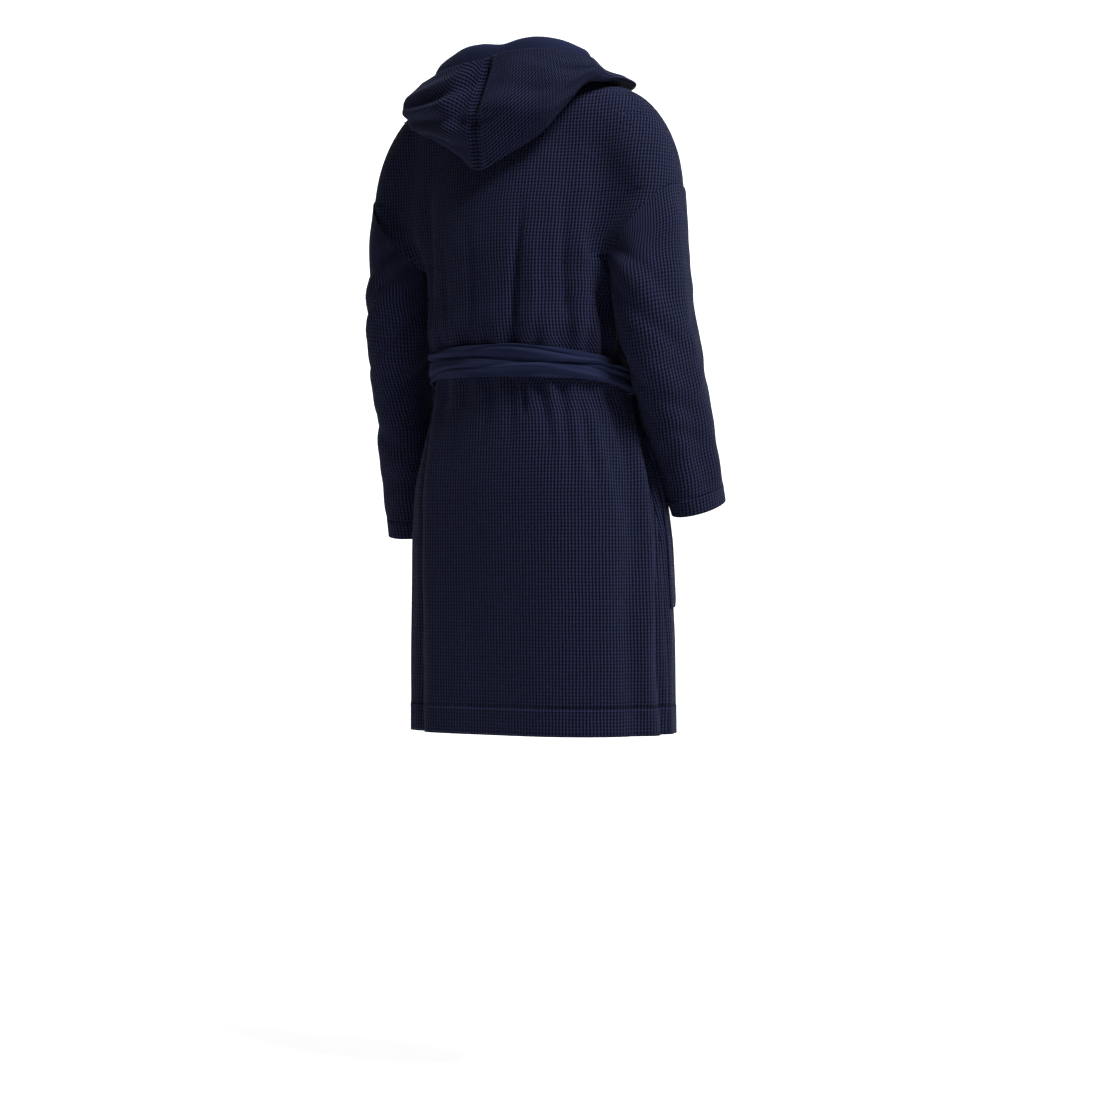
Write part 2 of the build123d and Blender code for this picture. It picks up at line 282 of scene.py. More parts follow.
# Angle round the belt in degrees from the wearer's left, depth, spread in degrees, and reach above and below.
GATHERS = [
    (99, -0.0075, 2.6, 0.045, 0.035), (92, 0.0040, 3.2, 0.06, 0.05), (106, 0.0045, 3.4, 0.07, 0.06),
    (113, -0.0045, 2.4, 0.04, 0.07), (120, 0.0040, 3.0, 0.06, 0.06), (128, -0.0075, 3.0, 0.10, 0.05),
    (135, 0.0050, 3.2, 0.12, 0.07), (142, -0.0060, 2.6, 0.09, 0.06), (149, 0.0055, 3.5, 0.14, 0.09),
    (156, -0.0070, 3.0, 0.15, 0.10), (84, -0.0035, 2.4, 0.03, 0.06), (77, 0.0030, 3.4, 0.04, 0.05),
    (70, -0.0035, 2.6, 0.05, 0.05), (60, 0.0045, 4.0, 0.10, 0.06), (52, -0.0055, 3.2, 0.12, 0.05),
    (43, 0.0050, 4.2, 0.15, 0.08), (34, -0.0055, 3.4, 0.13, 0.08), (24, 0.0045, 4.0, 0.12, 0.08),
    (14, -0.0045, 3.2, 0.10, 0.10), (166, 0.0050, 4.0, 0.12, 0.12), (175, -0.0050, 3.4, 0.10, 0.12),
]
for number, angle in enumerate(np.arange(186, 360, 9.5)):
    sign = 1 if number % 2 else -1
    GATHERS.append((angle + rng.uniform(-2, 2), sign * rng.uniform(0.003, 0.006), rng.uniform(2.6, 4.2),
                    rng.uniform(0.05, 0.14), rng.uniform(0.05, 0.14)))
# Long creases of the body: places (angle in degrees, height) from top to bottom, depth, and spread in metres.
CREASES = (
    (((36, -0.10), (27, -0.20), (26, -0.30), (26, -0.40), (25, -0.44)), -0.0130, 0.0090),
    (((45, -0.10), (36, -0.20), (35, -0.30), (34, -0.40), (33, -0.44)), 0.0070, 0.0130),
    (((146, -0.12), (153, -0.20), (156, -0.28), (157, -0.36), (161, -0.44)), -0.0150, 0.0130),
    (((136, -0.14), (141, -0.20), (144, -0.28), (147, -0.36), (151, -0.43)), 0.0060, 0.0110),
    (((105, -0.22), (104, -0.33), (103, -0.445)), -0.0105, 0.0040),
    (((112, -0.27), (112, -0.38), (111, -0.445)), 0.0045, 0.0060),
    (((128, -0.20), (131, -0.32), (134, -0.445)), -0.0075, 0.0060),
    (((138, -0.22), (140, -0.34), (142, -0.445)), 0.0045, 0.0070),
    (((60, -0.24), (58, -0.36), (57, -0.445)), -0.0050, 0.0065),
    (((76, -0.26), (75, -0.36), (74, -0.445)), -0.0035, 0.0050),
    (((44, -0.20), (42, -0.34), (41, -0.445)), -0.0060, 0.0070),
    (((106, -0.47), (106.5, -0.50), (106, -0.535)), -0.0105, 0.0034),
    (((98, -0.47), (97, -0.52), (96, -0.57)), -0.0045, 0.0048),
    (((114, -0.47), (115, -0.52), (116, -0.59)), -0.0050, 0.0052),
    (((124, -0.47), (125, -0.53), (127, -0.62)), -0.0052, 0.0060),
    (((134, -0.47), (136, -0.54), (139, -0.64)), -0.0056, 0.0066),
    (((145, -0.47), (148, -0.55), (152, -0.68)), -0.0060, 0.0076),
    (((86, -0.47), (84, -0.52), (82, -0.57)), -0.0040, 0.0050),
    (((70, -0.47), (66, -0.53), (62, -0.61)), -0.0042, 0.0062),
    (((196, -0.48), (182, -0.56), (175, -0.70), (173.5, -0.82), (172, -0.94), (175, -1.06)), -0.0085, 0.0066),
    (((186, -0.48), (172, -0.56), (166, -0.70), (164, -0.82), (162, -0.94), (164, -1.06)), 0.0085, 0.0125),
    (((160, -0.52), (158, -0.60), (154, -0.72), (151, -0.86), (150, -1.06)), -0.0065, 0.0120),
    (((190, -0.56), (187, -0.70), (184, -0.86), (184, -1.06)), 0.0040, 0.0090),
    (((26, -0.47), (35, -0.56), (41, -0.70), (44, -0.85), (44, -1.06)), -0.0095, 0.0066),
    (((36, -0.47), (45, -0.56), (51, -0.70), (54, -0.85), (54, -1.06)), 0.0055, 0.0130),
    (((14, -0.49), (20, -0.58), (26, -0.72), (30, -0.88), (31, -1.06)), 0.0050, 0.0100),
    (((70, -0.60), (74, -0.76), (78, -0.90), (80, -1.06)), -0.0028, 0.0200),
    (((116, -0.62), (114, -0.78), (112, -0.92), (113, -1.06)), 0.0026, 0.0220),
)


def creases(a, p):
    got = np.zeros(len(p))
    for places, size, spread in CREASES:
        z = np.array([q[1] for q in places][::-1])
        angle = np.array([q[0] for q in places][::-1])
        line = np.interp(p[:, 2], z, angle)
        off = np.radians((a - line + 180) % 360 - 180) * 0.165
        long = z[-1] - z[0]
        from_below, to_above = z[0] > -1.0, z[-1] < -0.45
        fade = smoothstep(z[0] - 0.35 * long * from_below, z[0] + 0.35 * long * from_below + 0.001, p[:, 2])
        soft = 0.30 * long if to_above else 0.55 * long
        fade = fade * (1 - smoothstep(z[-1] - soft, z[-1] + 0.35 * long, p[:, 2]))
        wander = 0.004 * np.sin(p[:, 2] * 19 + angle[0])
        got += size * bell((off + wander) / spread) * fade
    return got


BODY_WAVES = waves(7, 14, 34, 3)
FINE_WAVES = waves(9, 40, 95, 5)
SKIRT_WAVES = waves(6, 2.0, 7.0, 11)
ARM_WAVES = waves(7, 30, 75, 21)
ARM_FINE_WAVES = waves(8, 70, 160, 22)


def angle_of(p):
    cx, cy = trunk_at(p[:, 2])[2:]
    width, deep = trunk_at(p[:, 2])[:2]
    return np.degrees(np.arctan2((p[:, 1] - cy) / deep, (p[:, 0] - cx) / width)) % 360


def body_folds(p):
    a = angle_of(p)
    up = p[:, 2] - belt_height(p[:, 1])
    high, low = np.maximum(up - BELT_HALF, 0), np.maximum(-up - BELT_HALF, 0)
    held = np.exp(-(np.abs(up) / 0.030) ** 4)
    got = np.zeros(len(p))
    for angle, size, spread, above, below in GATHERS:
        wander = 26 * (high - 0.8 * low) * sin(angle * 7.0)
        wide = spread * (1 + 9 * high + 8 * low)
        off = (a - angle - wander + 180) % 360 - 180
        reach = np.exp(-high / above) * np.exp(-low / below)
        got += size * bell(off / wide) * reach
    got *= 1 - 0.72 * held
    # Cloth that blouses over the belt, and rounds over the seat below it.
    got += 0.006 * np.exp(-((high - 0.035) / 0.03) ** 2) * (up > 0)
    # Long soft folds of the skirt, growing towards the hem.
    skirt = smoothstep(0.06, 0.40, -up)
    got += 0.0042 * skirt * ripple(np.radians(a), p[:, 2], SKIRT_WAVES, 1.6)
    got += creases(a, p) * (1 - 0.6 * held)
    # Slack across the back and the chest, and creases that run to the armpits.
    chest = smoothstep(0.03, 0.12, up) * (1 - smoothstep(-0.22, -0.10, p[:, 2]))
    got += 0.0030 * chest * ripple(p[:, 0], p[:, 2], BODY_WAVES, 6.0)
    for side_angle, way in ((148, 1), (36, -1)):
        line = (a - side_angle + way * 75 * (p[:, 2] + 0.30)) / 5.0
        depth = bell((p[:, 2] + 0.31) / 0.075)
        got += -0.0080 * bell(line) * depth
        got += 0.0050 * bell(line - way * 2.2) * depth
    got += 0.0006 * ripple(p[:, 0] + p[:, 1], p[:, 2], FINE_WAVES, 25.0) * (1 - held)
    return got


# Creases of the sleeves: place along the arm, slant, middle and reach round the arm in degrees, size and width.
# Round the arm, 0 is outwards and 90 is backwards.
LEFT_CREASES = (
    (0.34, -0.10, 110, 50, -0.0060, 0.012), (0.40, -0.13, 95, 55, 0.0042, 0.016),
    (0.45, -0.15, 80, 60, -0.0062, 0.012), (0.50, -0.14, 60, 55, 0.0040, 0.017),
    (0.56, -0.13, 85, 50, -0.0056, 0.012), (0.61, -0.10, 55, 50, 0.0032, 0.016),
    (0.66, -0.10, 100, 45, -0.0042, 0.012), (0.53, -0.10, 0, 40, -0.0034, 0.012),
    (0.75, 0.09, 60, 50, -0.0030, 0.014), (0.82, -0.06, 90, 50, 0.0020, 0.016),
)
RIGHT_CREASES = (
    (0.36, -0.16, 120, 45, -0.0050, 0.014), (0.44, -0.18, 100, 50, 0.0036, 0.018),
    (0.52, -0.16, 90, 45, -0.0040, 0.014), (0.60, -0.14, 110, 50, 0.0028, 0.018),
    (0.68, -0.12, 100, 45, -0.0036, 0.014), (0.58, 0.10, 10, 35, -0.0026, 0.014),
    (0.78, -0.10, 80, 50, -0.0026, 0.014), (0.72, 0.10, 30, 40, 0.0022, 0.016),
)


def arm_folds(p, side):
    q = p * np.array((side, 1, 1))
    f, t = arm_distance(p, side)
    along = t * 0.72
    line = ARM_FINE[side]
    centre = np.stack([np.interp(t, np.linspace(0, 1, len(line)), line[:, k]) for k in range(3)], 1)
    off = q - centre
    turn = np.arctan2(off[:, 1], off[:, 0])
    free = smoothstep(0.18, 0.34, t) * (1 - smoothstep(0.93, 0.97, t))
    got = 0.0022 * free * ripple(along, turn, ARM_WAVES, 1.5)
    elbow = bell((t - 0.56) / 0.13)
    # Creases run down across the back of the arm, from its inner side to the elbow.
    table = LEFT_CREASES if side > 0 else RIGHT_CREASES
    for place, tilt, centre_turn, reach, size, wide in table:
        gap = np.degrees(turn) - centre_turn
        gap = (gap + 180) % 360 - 180
        line_at = t - place - tilt * gap / 90
        got += size * bell(line_at / wide) * bell(gap / reach) * free
    crease = (turn - (0.35 if side < 0 else 1.05) + 0.6 * (t - 0.5)) / 0.26
    got += (0.0050 if side < 0 else 0.0022) * bell(crease) * free
    got += (-0.0042 if side < 0 else -0.0020) * bell(crease - 2.3) * free * (1 - 0.4 * elbow)
    got += 0.0008 * ripple(along, turn, ARM_FINE_WAVES, 3.0) * free
    return got


# ---------------------------------------------------------------- meshes



def normals_of(grid):
    du = np.gradient(grid, axis=1)
    dv = np.gradient(grid, axis=0)
    n = np.cross(du, dv)
    return n / np.maximum(np.linalg.norm(n, axis=2), 1e-12)[:, :, None]


def add_object(name, data):
    made = bpy.data.objects.new(name, data)
    bpy.context.scene.collection.objects.link(made)
    return made


def make_mesh(name, points, faces, uvs, material, smooth=True):
    mesh = bpy.data.meshes.new(name)
    mesh.from_pydata(points.tolist(), [], faces)
    layer = mesh.uv_layers.new(name="metres")
    loops = np.empty(len(mesh.loops), int)
    mesh.loops.foreach_get("vertex_index", loops)
    layer.data.foreach_set("uv", uvs[loops].astype(np.float32).ravel())
    mesh.polygons.foreach_set("use_smooth", [smooth] * len(mesh.polygons))
    mesh.materials.append(material)
    mesh.update()
    return add_object(name, mesh)


def cloth(name, grid, uv, thick, material, outward):
    """A closed sheet: grid is its outer face, and outward is 1 or -1 for its normals' side."""
    rows, cols = grid.shape[:2]
    n = normals_of(grid) * outward
    inner = grid - n * thick
    points = np.concatenate((grid.reshape(-1, 3), inner.reshape(-1, 3)))
    index = np.arange(rows * cols).reshape(rows, cols)
    a, b, c, d = index[:-1, :-1], index[:-1, 1:], index[1:, 1:], index[1:, :-1]
    top = np.stack((a, b, c, d), -1).reshape(-1, 4)
    if outward < 0:
        top = top[:, ::-1]
    low = top[:, ::-1] + rows * cols
    ring = np.concatenate((index[0, :-1], index[:-1, -1], index[-1, :0:-1], index[:0:-1, 0]))
    after = np.roll(ring, -1)
    edge = np.stack((ring, ring + rows * cols, after + rows * cols, after), -1)
    if outward < 0:
        edge = edge[:, ::-1]
    faces = np.concatenate((top, low, edge))
    uvs = np.concatenate((uv.reshape(-1, 2), uv.reshape(-1, 2)))
    return make_mesh(name, points, faces.tolist(), uvs, material)


def lengths(grid, axis):
    """Running length along one axis of a grid of points."""
    step = np.linalg.norm(np.diff(grid, axis=axis), axis=2)
    pad = [(0, 0), (0, 0)]
    pad[axis] = (1, 0)
    return np.cumsum(np.pad(step, pad), axis=axis)


def pattern_at(z):
    """Half width, half depth and the armhole's angle of the body pattern at each height."""
    width = np.interp(z, PATTERN[:, 0], PATTERN[:, 1])
    deep = np.interp(z, PATTERN[:, 0], PATTERN[:, 2])
    share = (z - ARMPIT[1]) / (SHOULDER[1] - ARMPIT[1])
    inside = (share > 0) & (share < 1)
    share = np.clip(share, 0, 1)
    reach = ARMPIT[0] + (SHOULDER[0] - ARMPIT[0]) * share
    turn = np.where(inside,
        np.arcsin(ARMHOLE_DEPTH * np.sqrt(np.maximum(1 - (2 * share - 1) ** 2, 0)) / deep), 0)
    return np.where(inside, reach / np.cos(turn), width), deep, turn


def heights(low, high, step):
    """Rows from one height to another, closer together over the shoulders."""
    fine = np.linspace(low, high, 4000)
    density = 1 + 2.2 * smoothstep(-0.20, -0.05, fine) + 2.0 * bell((fine + 0.245) / 0.05)
    along = np.concatenate(([0], np.cumsum((density[1:] + density[:-1]) / 2 * np.diff(fine))))
    count = max(3, int(along[-1] / step))
    return np.interp(np.linspace(0, along[-1], count), along, fine)


V_EDGE, LAP_EDGE, FLAP_TOP = 0.058, 0.090, -0.556
FOLD_TOP, FOLD_BOTTOM = 0.060, 0.080


def edge_at(z):
    share = np.clip((z - FLAP_TOP) / (NECK_TOP - FLAP_TOP), 0, 1)
    return -LAP_EDGE + (LAP_EDGE + V_EDGE) * share


def fold_at(z):
    return FOLD_TOP + (FOLD_BOTTOM - FOLD_TOP) * (FLAP_TOP - z) / (FLAP_TOP - HEM_Z)


def body_grid(part, low, high, start, end, step=0.0062, cols=None, proud=0.0):
    """Outer face of a piece of the body. start and end give its two edges as angles for heights and half widths."""
    z = heights(low, high, step)
    width, deep, turn = pattern_at(z)
    cx, cy = trunk_at(z)[2:]
    first, last = start(z, width, turn, cx), end(z, width, turn, cx)
    reach = np.abs(last - first).max() * 0.19
    cols = cols or max(4, int(reach / step))
    share = np.linspace(0, 1, cols)
    a = first[:, None] + (last - first)[:, None] * share
    x = cx[:, None] + width[:, None] * np.cos(a)
    y = cy[:, None] + deep[:, None] * np.sin(a)
    flat = np.stack((x, y, np.broadcast_to(z[:, None], x.shape)), -1).reshape(-1, 3)
    seam = np.zeros((len(z), cols))
    inside = turn > 0
    if start in (from_left, from_left_front, from_right_front):
        seam[inside, 0] = -1 if start is from_right_front else 1
    if end is to_right:
        seam[inside, -1] = -1
    laid = lay(flat, 0, seam.ravel())
    n = slope(laid, 0)[1]
    n /= np.linalg.norm(n, axis=1)[:, None]
    out = body_folds(laid)
    for side in (1, -1):
        if inside.any():
            fade = smoothstep(0.0, 0.035, -seam_side(laid, side))
            near = smoothstep(-0.37, -0.30, laid[:, 2]) * (1 - smoothstep(-0.17, -0.10, laid[:, 2]))
            near = near * smoothstep(0.07, 0.12, side * laid[:, 0])
            out = out * (1 - 0.85 * near * (1 - fade))
    if part == "lap":
        a_now = angle_of(laid)
        out += LAP * smoothstep(0, 55, np.minimum(np.abs(360 - a_now), a_now) % 360)
    laid += n * (out + proud)[:, None]
    grid = laid.reshape(len(z), cols, 3)
    return grid


def from_left(z, width, turn, cx):
    return turn


def to_right(z, width, turn, cx):
    return pi - turn


def from_left_front(z, width, turn, cx):
    return -turn


def from_right_front(z, width, turn, cx):
    return pi + turn


def at_edge(side, place, off=0.0):
    def angle(z, width, turn, cx):
        reach = np.clip((place(z) + off - side * cx) / width, -1, 1)
        got = np.arccos(reach)
        return -got if side > 0 else pi + got
    return angle


def metres(grid, middle_col):
    """Pattern coordinates of a piece: across from one column, and up that column."""
    across = lengths(grid, 1)
    across = across - across[:, middle_col][:, None]
    up = lengths(grid, 0)[:, middle_col]
    up = up - np.interp(-0.5, grid[:, middle_col, 2], up)
    return np.stack((across, np.broadcast_to(up[:, None], across.shape)), -1)


def front_metres(grid, place):
    """Pattern coordinates of a front, measured from the upright line where X has one value."""
    across = lengths(grid, 1)
    line = []
    for row, so_far in zip(grid, across):
        order = np.argsort(row[:, 0])
        line.append([np.interp(place, row[order, 0], v[order]) for v in (so_far, row[:, 1], row[:, 2])])
    line = np.array(line)
    up = np.concatenate(([0], np.cumsum(np.hypot(np.diff(line[:, 1]), np.diff(line[:, 2])))))
    up = up - np.interp(-0.5, grid[:, 0, 2], up)
    across = across - line[:, :1]
    return np.stack((across, np.broadcast_to(up[:, None], across.shape)), -1)


# ---------------------------------------------------------------- materials


def new_material(name):
    material = bpy.data.materials.new(name)
    material.use_nodes = True
    nodes = material.node_tree.nodes
    nodes.clear()
    out = nodes.new("ShaderNodeOutputMaterial")
    shader = nodes.new("ShaderNodeBsdfPrincipled")
    material.node_tree.links.new(shader.outputs[0], out.inputs[0])
    return material, nodes, material.node_tree.links, shader


def math_node(nodes, links, kind, *values):
    node = nodes.new("ShaderNodeMath")
    node.operation = kind
    for number, value in enumerate(values):
        if isinstance(value, (int, float)):
            node.inputs[number].default_value = value
        else:
            links.new(value, node.inputs[number])
    return node.outputs[0]


def mix_colour(nodes, links, factor, low, high):
    node = nodes.new("ShaderNodeMix")
    node.data_type = "RGBA"
    links.new(factor, node.inputs["Factor"])
    for socket, value in ((6, low), (7, high)):
        if isinstance(value, tuple):
            node.inputs[socket].default_value = (*value, 1)
        else:
            links.new(value, node.inputs[socket])
    return node.outputs[2]


def waffle_material(name, pitch, ridge, pit_painted_shade, depth=0.0014):
    """Waffle knit: square cells with raised walls, in the piece's own pattern coordinates; the cells' hollows are
    painted darker as shade.
    """
    material, nodes, links, shader = new_material(name)
    uv = nodes.new("ShaderNodeUVMap")
    uv.uv_map = "metres"
    split = nodes.new("ShaderNodeSeparateXYZ")
    links.new(uv.outputs[0], split.inputs[0])
    noise = nodes.new("ShaderNodeTexNoise")
    noise.inputs["Scale"].default_value = 22
    noise.inputs["Detail"].default_value = 2
    links.new(uv.outputs[0], noise.inputs["Vector"])
    sides = []
    for axis in (0, 1):
        warp = math_node(nodes, links, "MULTIPLY", noise.outputs["Fac"], 0.0022)
        place = math_node(nodes, links, "ADD", split.outputs[axis], warp)
        turn = math_node(nodes, links, "MULTIPLY", place, 2 * pi / pitch)
        sides.append(math_node(nodes, links, "COSINE", turn))
    columns = math_node(nodes, links, "MULTIPLY_ADD", sides[0], 0.31, 0.5)
    wide = math_node(nodes, links, "MULTIPLY_ADD", sides[1], 0.19, columns)
    low = nodes.new("ShaderNodeMapRange")
    low.interpolation_type = "SMOOTHSTEP"
    links.new(wide, low.inputs["Value"])
    low.inputs["From Min"].default_value = 0.32
    low.inputs["From Max"].default_value = 0.74
    hollow = low.outputs["Result"]
    grain = nodes.new("ShaderNodeTexNoise")
    grain.inputs["Scale"].default_value = 900
    grain.inputs["Detail"].default_value = 3
    links.new(uv.outputs[0], grain.inputs["Vector"])
    patch = nodes.new("ShaderNodeTexNoise")
    patch.inputs["Scale"].default_value = 9
    patch.inputs["Detail"].default_value = 3
    links.new(uv.outputs[0], patch.inputs["Vector"])
    worn = math_node(nodes, links, "MULTIPLY_ADD", patch.outputs["Fac"], 0.5, 0.02)
    lighter = tuple(1.28 * c for c in ridge)
    yarn = mix_colour(nodes, links, worn, ridge, lighter)
    # Painted shade: the hollows of the cells are mixed towards the dark pit colour, standing in for their
    # self-shadowing.
    colour = mix_colour(nodes, links, hollow, yarn, pit_painted_shade)
    links.new(colour, shader.inputs["Base Color"])
    fuzz = math_node(nodes, links, "MULTIPLY", grain.outputs["Fac"], 0.22)
    height = math_node(nodes, links, "SUBTRACT", fuzz, hollow)
    bump = nodes.new("ShaderNodeBump")
    bump.inputs["Strength"].default_value = 1.0
    bump.inputs["Distance"].default_value = depth
    links.new(height, bump.inputs["Height"])
    links.new(bump.outputs[0], shader.inputs["Normal"])
    shader.inputs["Roughness"].default_value = 0.92
    shader.inputs["Specular IOR Level"].default_value = 0.05
    shader.inputs["Sheen Weight"].default_value = 0.02
    shader.inputs["Sheen Roughness"].default_value = 0.5
    shader.inputs["Sheen Tint"].default_value = (0.45, 0.55, 0.95, 1)
    return material


def jersey_material(name, base):
    """Smooth jersey: fine ribs of stitches along the piece."""
    material, nodes, links, shader = new_material(name)
    uv = nodes.new("ShaderNodeUVMap")
    uv.uv_map = "metres"
    split = nodes.new("ShaderNodeSeparateXYZ")
    links.new(uv.outputs[0], split.inputs[0])
    rib = math_node(nodes, links, "SINE",
        math_node(nodes, links, "MULTIPLY", split.outputs[0], 2 * pi / 0.0013))
    row = math_node(nodes, links, "SINE",
        math_node(nodes, links, "MULTIPLY", split.outputs[1], 2 * pi / 0.0016))
    grain = nodes.new("ShaderNodeTexNoise")
    grain.inputs["Scale"].default_value = 600
    links.new(uv.outputs[0], grain.inputs["Vector"])
    patch = nodes.new("ShaderNodeTexNoise")
    patch.inputs["Scale"].default_value = 14
    links.new(uv.outputs[0], patch.inputs["Vector"])
    lighter = tuple(1.35 * c for c in base)
    colour = mix_colour(nodes, links, patch.outputs["Fac"], base, lighter)
    links.new(colour, shader.inputs["Base Color"])
    knit = math_node(nodes, links, "ADD", math_node(nodes, links, "MULTIPLY", rib, row), grain.outputs["Fac"])
    bump = nodes.new("ShaderNodeBump")
    bump.inputs["Strength"].default_value = 0.5
    bump.inputs["Distance"].default_value = 0.0004
    links.new(knit, bump.inputs["Height"])
    links.new(bump.outputs[0], shader.inputs["Normal"])
    shader.inputs["Roughness"].default_value = 0.88
    shader.inputs["Specular IOR Level"].default_value = 0.05
    shader.inputs["Sheen Weight"].default_value = 0.03
    shader.inputs["Sheen Roughness"].default_value = 0.45
    shader.inputs["Sheen Tint"].default_value = (0.45, 0.55, 0.95, 1)
    return material


RIDGE = (0.0084, 0.0100, 0.0290)
# The pit colour is painted shade for the cells' hollows, far darker than the yarn.
PIT_PAINTED_SHADE = (0.0003, 0.0004, 0.0016)
waffle = waffle_material("waffle_knit", 0.0054, RIDGE, PIT_PAINTED_SHADE)
waffle_hood = waffle_material("waffle_knit_hood", 0.0059, RIDGE, PIT_PAINTED_SHADE)
jersey = jersey_material("jersey_knit", (0.0060, 0.0077, 0.0228))
thread = jersey_material("seam_thread", (0.014, 0.018, 0.050))

THICK = 0.0028
LINING_THICK = 0.0011
FACING_WIDTH = 0.040
HOOD_BEND = ("torso", "hood", (0, -0.015, 0), (0, 0.080, 0))
LOOP_HALF = 0.0053  # half width of the belt loops and the hanging loop


def finish_piece(piece, body, nodes, blend=None):
    if blend:
        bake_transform(piece)
    else:
        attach(piece, body)
    if nodes:
        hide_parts(*nodes)


# Two points for the lap: the middle of its diagonal, and a point 0.11 m from there towards its lower free corner.
diagonal = np.array((LAP_EDGE + FOLD_BOTTOM, 0, HEM_Z - FLAP_TOP))
diagonal_way = np.array((diagonal[2], 0, -diagonal[0])) / np.linalg.norm(diagonal)
diagonal_middle = np.array(((FOLD_BOTTOM - LAP_EDGE) / 2, 0, (HEM_Z + FLAP_TOP) / 2))
LAP_BEND = ("torso", "front_lap", tuple(diagonal_middle), tuple(diagonal_middle + 0.11 * diagonal_way))

HEM_TOP = HEM_Z + HEM
body_specs = (
    ("back_panel", 0, HEM_TOP, NECK_TOP, from_left, to_right, 0.0, "torso", 1),
    ("back_hem", 0, HEM_Z, HEM_TOP, from_left, to_right, 0.0007, "torso", 1),
    ("left_front_upper", "lap", FLAP_TOP, NECK_TOP, from_left_front, at_edge(1, edge_at), 0.0, "torso", -1),
    ("left_front_lower", "lap", HEM_TOP, FLAP_TOP, from_left_front, at_edge(1, fold_at), 0.0, "torso", -1),
    ("left_front_hem", "lap", HEM_Z, HEM_TOP, from_left_front, at_edge(1, fold_at), 0.0007, "torso", -1),
    ("left_front_flap", "lap", HEM_TOP, FLAP_TOP, at_edge(1, fold_at), at_edge(1, edge_at), 0.0,
        "front_lap", -1),
    ("left_flap_hem", "lap", HEM_Z, HEM_TOP, at_edge(1, fold_at), at_edge(1, edge_at), 0.0007, "front_lap",
        -1),
    ("right_front", 0, HEM_TOP, NECK_TOP, from_right_front, at_edge(-1, edge_at), 0.0, "torso", 1),
    ("right_front_hem", 0, HEM_Z, HEM_TOP, from_right_front, at_edge(-1, edge_at), 0.0007, "torso", 1),
)
grids = {}
for name, part, low, high, start, end, proud, body, way in body_specs:
    grid = body_grid(part, low, high, start, end, proud=proud)
    grids[name] = grid
    if name.startswith("back"):
        uv = metres(grid, grid.shape[1] // 2)
    elif "flap" in name:
        uv = metres(grid, 0)
    else:
        uv = front_metres(grid, 0.110 if name.startswith("left") else -0.110)
    piece = cloth(name, grid, uv, THICK + 2 * proud, waffle, way)
    finish_piece(piece, body, [name], LAP_BEND if body == "front_lap" else None)


def arm_rings(side, first, last, rows, cols=72):
    """Outer face of a stretch of sleeve, from the armhole (0) to the end of the cuff (1), seam under the arm."""
    line = ARM_FINE[side]
    start = 0.30
    centre0 = np.array(((ARMPIT[0] + SHOULDER[0]) / 2, 0, (ARMPIT[1] + SHOULDER[1]) / 2))
    share = np.linspace(first, last, rows)
    turn = np.linspace(-pi, pi, cols)
    ring, planes = [], []
    total = len(line) - 1
    for s in share:
        at = (start + (1 - start) * s) * total
        c = np.array([np.interp(at, np.arange(len(line)), line[:, k]) for k in range(5)])
        ahead = np.array([np.interp(min(at + 2, total), np.arange(len(line)), line[:, k]) for k in range(3)])
        behind = np.array([np.interp(at - 2, np.arange(len(line)), line[:, k]) for k in range(3)])
        t = (ahead - behind) / np.linalg.norm(ahead - behind)
        w = float(smoothstep(0.0, 0.34, np.array([s]))[0])
        n = (1 - w) * np.array((ARM_N[0], 0, ARM_N[1])) + w * t
        n /= np.linalg.norm(n)
        c0 = (1 - w) * (centre0 + np.array((0.0, 0, -0.36 * s))) + w * c[:3]
        out = np.array((-n[2], 0, n[0]))
        out /= np.linalg.norm(out)
        fore = np.cross(n, out)
        a = (1 - w) * 0.0725 + w * c[3]
        d = (1 - w) * ARMHOLE_DEPTH + w * c[4]
        ring.append(c0 + a * np.cos(turn)[:, None] * out + d * np.sin(turn)[:, None] * fore)
        planes.append(np.broadcast_to(n, (cols, 3)))
    ring, planes = np.array(ring), np.array(planes)
    mirror = np.array((side, 1, 1))
    flat, planes = (ring * mirror).reshape(-1, 3), (planes * mirror).reshape(-1, 3)
    laid = lay(flat, side, planes=planes)
    n = slope(laid, side)[1]
    n /= np.linalg.norm(n, axis=1)[:, None]
    out = arm_folds(laid, side)
    laid += n * out[:, None]
    return laid.reshape(rows, cols, 3)


CUFF_SHARE = 1 - 0.028 / 0.50
for side, word in ((1, "left"), (-1, "right")):
    # The sleeve starts at the seam on the body and follows the arm from there on, and two points are given across
    # the seam.
    seam = (ARMPIT + SHOULDER) / 2
    bent = seam + 0.16 * ARM_N
    blend = ("torso", f"{word}_arm", (side * seam[0], 0, seam[1]), (side * bent[0], 0, bent[1]))
    for name, first, last, rows, proud in (
        (f"{word}_sleeve", 0.0, CUFF_SHARE, 100, 0.0), (f"{word}_cuff", CUFF_SHARE, 1.0, 8, 0.0007)
    ):
        grid = arm_rings(side, first, last, rows)
        if proud:
            grid = grid + normals_of(grid) * proud * -side
        grids[name] = grid
        across, down = lengths(grid, 1), lengths(grid, 0)
        middle = grid.shape[1] // 2
        across = across - across[:, middle][:, None]
        uv = np.stack((across, np.broadcast_to(down[:, middle][:, None], across.shape)), -1)
        piece = cloth(name, grid, uv, THICK + 2 * proud, waffle, -side)
        finish_piece(piece, None, [name], blend)

# ---------------------------------------------------------------- facings and neck tape


def inside_strip(name, source, cols, body, way):
    """A strip of jersey on the inner face of a body piece, over some of its columns."""
    n = normals_of(source) * way
    grid = (source - n * (THICK + 0.0006))[:, cols]
    uv = metres(grid, 0)
    piece = cloth(name, grid, uv, LINING_THICK, jersey, way)
    finish_piece(piece, body, [name], LAP_BEND if body == "front_lap" else None)
    grids[name] = grid


def edge_columns(grid, width):
    """The columns of a piece that lie within a width of its last column, at its lowest row."""
    across = lengths(grid, 1)
    return np.where(across[0, -1] - across[0] <= width)[0]


